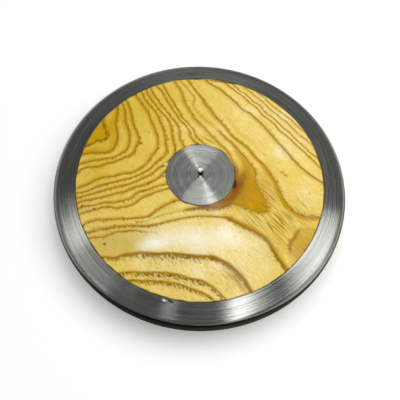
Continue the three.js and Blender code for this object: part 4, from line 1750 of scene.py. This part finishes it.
@dataclass(frozen=True)
class InnerFittings:
    """The sleeve, trim washers and key pins, which keep their CAD meshes."""

    finish: MildSteel = MildSteel()

    def dress(self) -> list[Piece]:
        """Gives every inner fitting its finish.

        Returns:
            The dressed fittings.
        """
        steel = self.finish.material()
        shown = [node for name, node in sorted(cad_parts.items()) if not node.hide_render]
        for node in shown:
            node.data.materials.clear()
            node.data.materials.append(steel)
        return shown


@dataclass(frozen=True)
class PaleFloor:
    """A smooth matt white sweep of painted board, drawn as white as the camera shows paper."""

    colour: str = "#F4F4F2"
    lift: float = 0.16               # glow that keeps the board paper white to the camera
    grain_scale: float = 900.0       # grains in a metre
    grain_depth: float = 0.02        # mm

    def material(self) -> Material:
        """Builds the finish.

        Returns:
            The material.
        """
        material, tree = new_material("matt_white_board")
        rays = add_node(tree, "LightPath").outputs
        shown = rays["Is Camera Ray"]
        for kind in ("Is Glossy Ray", "Is Transmission Ray"):
            shown = add_node(tree, "Math", {0: shown, 1: rays[kind]}, operation="MAXIMUM").outputs[0]
        glow = add_node(tree, "Math", {0: shown, 1: self.lift}, operation="MULTIPLY").outputs[0]
        place = add_node(tree, "TexCoord").outputs["Object"]
        grain = add_node(tree, "TexNoise", {"Vector": place, "Scale": self.grain_scale}).outputs[0]
        relief = add_node(tree, "Bump", {
            "Height": grain, "Distance": self.grain_depth * MM, "Strength": 0.5}).outputs[0]
        shader = add_node(tree, "BsdfPrincipled", {
            "Base Color": linear(self.colour), "Roughness": 0.9, "Specular IOR Level": 0.2, "Normal": relief,
            "Emission Color": (1, 1, 1, 1), "Emission Strength": glow}).outputs[0]
        add_node(tree, "OutputMaterial", {"Surface": shader})
        return material


@dataclass(frozen=True)
class Lamp:
    """A level rectangular soft lamp that hangs above the discus and shines straight down."""

    name: str
    place: tuple[float, float, float]    # metres
    length: float                        # metres
    width: float                         # metres
    heading: float                       # degrees from +X to its long side
    glow: float                          # brightness of its face, where a white surface is 1
    in_metal: bool = True                # whether gloss and metal reflect it

    def hang(self) -> None:
        """Hangs the lamp."""
        light = bpy.data.lights.new(self.name, "AREA")
        light.shape = "RECTANGLE"
        light.size, light.size_y = self.length, self.width
        light.energy = self.glow * math.pi * self.length * self.width
        lamp = bpy.data.objects.new(self.name, light)
        bpy.context.scene.collection.objects.link(lamp)
        lamp.location = self.place
        lamp.rotation_euler.z = math.radians(self.heading)
        lamp.visible_glossy = self.in_metal
        lamp.visible_camera = False


@dataclass(frozen=True)
class Studio:
    """The floor, the soft lamps, the dim room and the camera."""

    floor_side: float = 4.0              # metres
    floor_thickness: float = 20.0        # mm
    floor_bevel: float = 3.0             # mm
    room_grey: str = "#575956"
    low_wall_grey: str = "#9A9C98"       # the walls near the floor
    low_wall: float = 0.3                # sine of the angle up to where they darken
    lit_wall_grey: str = "#F4F4F2"       # the wall in front on the right, which daylight falls on
    lit_wall_heading: tuple[float, float, float] = (0.68, -0.73, 0.0)
    lit_wall_sides: Point = (0.6, 0.85)  # cosine of the angle from that heading, from no light to full
    lit_wall_top: Point = (0.3, 0.5)     # sine of the angle up, from full light to none
    camera_height: float = 63.95         # degrees above the horizon
    camera_distance: float = 537.9       # mm from the frame's origin
    camera_roll: float = 2.70            # degrees
    focal_pixels: float = 709.7
    sensor_width: float = 36.0           # mm
    image_side: float = 400.0            # pixels
    origin_pixel: Point = (199.83, 187.69)
    lamps: tuple[Lamp, ...] = (
        Lamp("near_bar", (-0.035, 0.276, 1.0), 0.165, 0.05, -2, 7.0),
        Lamp("near_bar_end", (0.083, 0.27, 1.0), 0.06, 0.05, -2, 12.5),
        Lamp("far_bar", (-0.01, 0.975, 1.0), 0.424, 0.05, -1, 8.9),
        Lamp("right_strip", (0.108, 0.221, 1.0), 0.413, 0.068, 112, 1.25),
        Lamp("right_long_strip", (0.308, -0.387, 1.0), 0.934, 0.135, 98, 3.0),
        Lamp("left_spot", (-0.146, -0.341, 1.0), 0.081, 0.03, 76, 7.4),
        Lamp("left_glint", (-0.262, -0.005, 1.0), 0.05, 0.03, 0, 16.0),
        Lamp("right_glint", (0.2, 0.06, 1.0), 0.03, 0.09, 0, 13.0),
        Lamp("right_panel", (0.99, 0.04, 1.0), 0.744, 0.734, 21, 1.88),
        Lamp("left_panel", (-0.91, 0.114, 1.0), 0.717, 0.311, 39, 1.5),
        Lamp("left_side_panel", (-0.85, -0.285, 1.0), 0.443, 0.193, 117, 2.1),
        Lamp("far_panel", (0.315, 0.684, 1.0), 0.734, 0.704, 110, 0.53),
        Lamp("overhead_fill", (0.5, 0.35, 1.8), 2.20, 2.20, 0, 1.95, in_metal=False),
    )

    def build(self) -> None:
        """Sets up the whole studio."""
        self._lay_floor()
        for lamp in self.lamps:
            lamp.hang()
        self._light_room()
        self._place_camera()
        bpy.context.scene.view_settings.view_transform = "Standard"

    def _lay_floor(self) -> None:
        """Lays a thick board with eased edges under the discus."""
        deselect_all()
        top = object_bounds()[0].z
        bpy.ops.mesh.primitive_plane_add(size=self.floor_side, location=(0, 0, top))
        floor = bpy.context.object
        floor.name = floor.data.name = "floor"
        bpy.ops.object.transform_apply(location=True, rotation=True, scale=True)
        bpy.ops.object.mode_set(mode="EDIT")
        bpy.ops.mesh.select_all(action="SELECT")
        bpy.ops.mesh.extrude_region_move(TRANSFORM_OT_translate={"value": (0, 0, -self.floor_thickness * MM)})
        bpy.ops.mesh.select_all(action="SELECT")
        bpy.ops.mesh.bevel(offset=self.floor_bevel * MM, segments=2, affect="EDGES")
        bpy.ops.mesh.normals_make_consistent(inside=False)
        bpy.ops.object.mode_set(mode="OBJECT")
        floor.data.materials.append(PaleFloor().material())
        floor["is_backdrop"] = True

    def _light_room(self) -> None:
        """Fills the room with dim light, brighter low down on its walls and in front on the right."""
        world = bpy.data.worlds.new("room")
        world.use_nodes = True
        tree = world.node_tree
        tree.nodes.clear()
        heading = add_node(tree, "TexCoord").outputs["Generated"]
        up = add_node(tree, "SeparateXYZ", {0: heading}).outputs["Z"]
        low = add_node(tree, "MapRange", {
            "Value": up, "From Min": 0.0, "From Max": self.low_wall, "To Min": 1.0, "To Max": 0.0}).outputs[0]
        grey = add_node(tree, "Mix", {0: low, 6: linear(self.room_grey), 7: linear(self.low_wall_grey)},
                        data_type="RGBA").outputs[2]
        facing = add_node(tree, "VectorMath", {0: heading, 1: self.lit_wall_heading}, operation="DOT_PRODUCT")
        side = add_node(tree, "MapRange", {
            "Value": facing.outputs["Value"], "From Min": self.lit_wall_sides[0],
            "From Max": self.lit_wall_sides[1]}, interpolation_type="SMOOTHSTEP").outputs[0]
        lit = add_node(tree, "MapRange", {
            "Value": up, "From Min": self.lit_wall_top[0], "From Max": self.lit_wall_top[1], "To Min": 1.0,
            "To Max": 0.0}, interpolation_type="SMOOTHSTEP").outputs[0]
        share = add_node(tree, "Math", {0: side, 1: lit}, operation="MULTIPLY").outputs[0]
        tone = add_node(tree, "Mix", {0: share, 6: grey, 7: linear(self.lit_wall_grey)},
                        data_type="RGBA").outputs[2]
        glow = add_node(tree, "Background", {"Color": tone, "Strength": 1.0})
        add_node(tree, "OutputWorld", {"Surface": glow.outputs[0]})
        bpy.context.scene.world = world

    def _place_camera(self) -> None:
        """Puts the camera where the photograph was taken from."""
        height, roll = math.radians(self.camera_height), math.radians(self.camera_roll)
        right = Vector((1, 0, 0))
        up = Vector((0, math.sin(height), math.cos(height)))
        back = Vector((0, -math.cos(height), math.sin(height)))
        across = math.cos(roll) * right + math.sin(roll) * up
        upward = math.cos(roll) * up - math.sin(roll) * right
        data = bpy.data.cameras.new("camera")
        data.sensor_width = self.sensor_width
        data.lens = self.focal_pixels / self.image_side * data.sensor_width
        data.shift_x = 0.5 - self.origin_pixel[0] / self.image_side
        data.shift_y = self.origin_pixel[1] / self.image_side - 0.5
        camera = bpy.data.objects.new("camera", data)
        bpy.context.scene.collection.objects.link(camera)
        turned = Matrix((across, upward, back)).transposed().to_4x4()
        camera.matrix_world = Matrix.Translation(back * self.camera_distance * MM) @ turned
        bpy.context.scene.camera = camera


def main() -> None:
    """Builds the discus and its studio in order, and reports each piece."""
    logging.basicConfig(level=logging.INFO, format="%(message)s")
    form = DiscusForm.from_frame()
    upper_wood = VarnishedAsh("varnished_ash_upper", UPPER_MARKS)
    lower_wood = VarnishedAsh("varnished_ash_lower", LOWER_MARKS)
    parts = (
        SteelRim(form),
        WoodSide(form, Face.UPPER, BoardFigure(), upper_wood),
        WoodSide(form, Face.LOWER, BoardFigure(turn=147, shift=(4, -3)), lower_wood),
        CentrePlate(form, Face.UPPER),
        CentrePlate(form, Face.LOWER),
        CentreScrew(form, Face.UPPER, 48),
        CentreScrew(form, Face.LOWER, 17),
    )
    for part in parts:
        piece = part.build()
        LOG.info("%s: %d faces", piece.name, len(piece.data.polygons))
    for node in InnerFittings().dress():
        LOG.info("%s: CAD mesh, dressed", node.name)
    Studio().build()


if __name__ == "__main__":
    main()
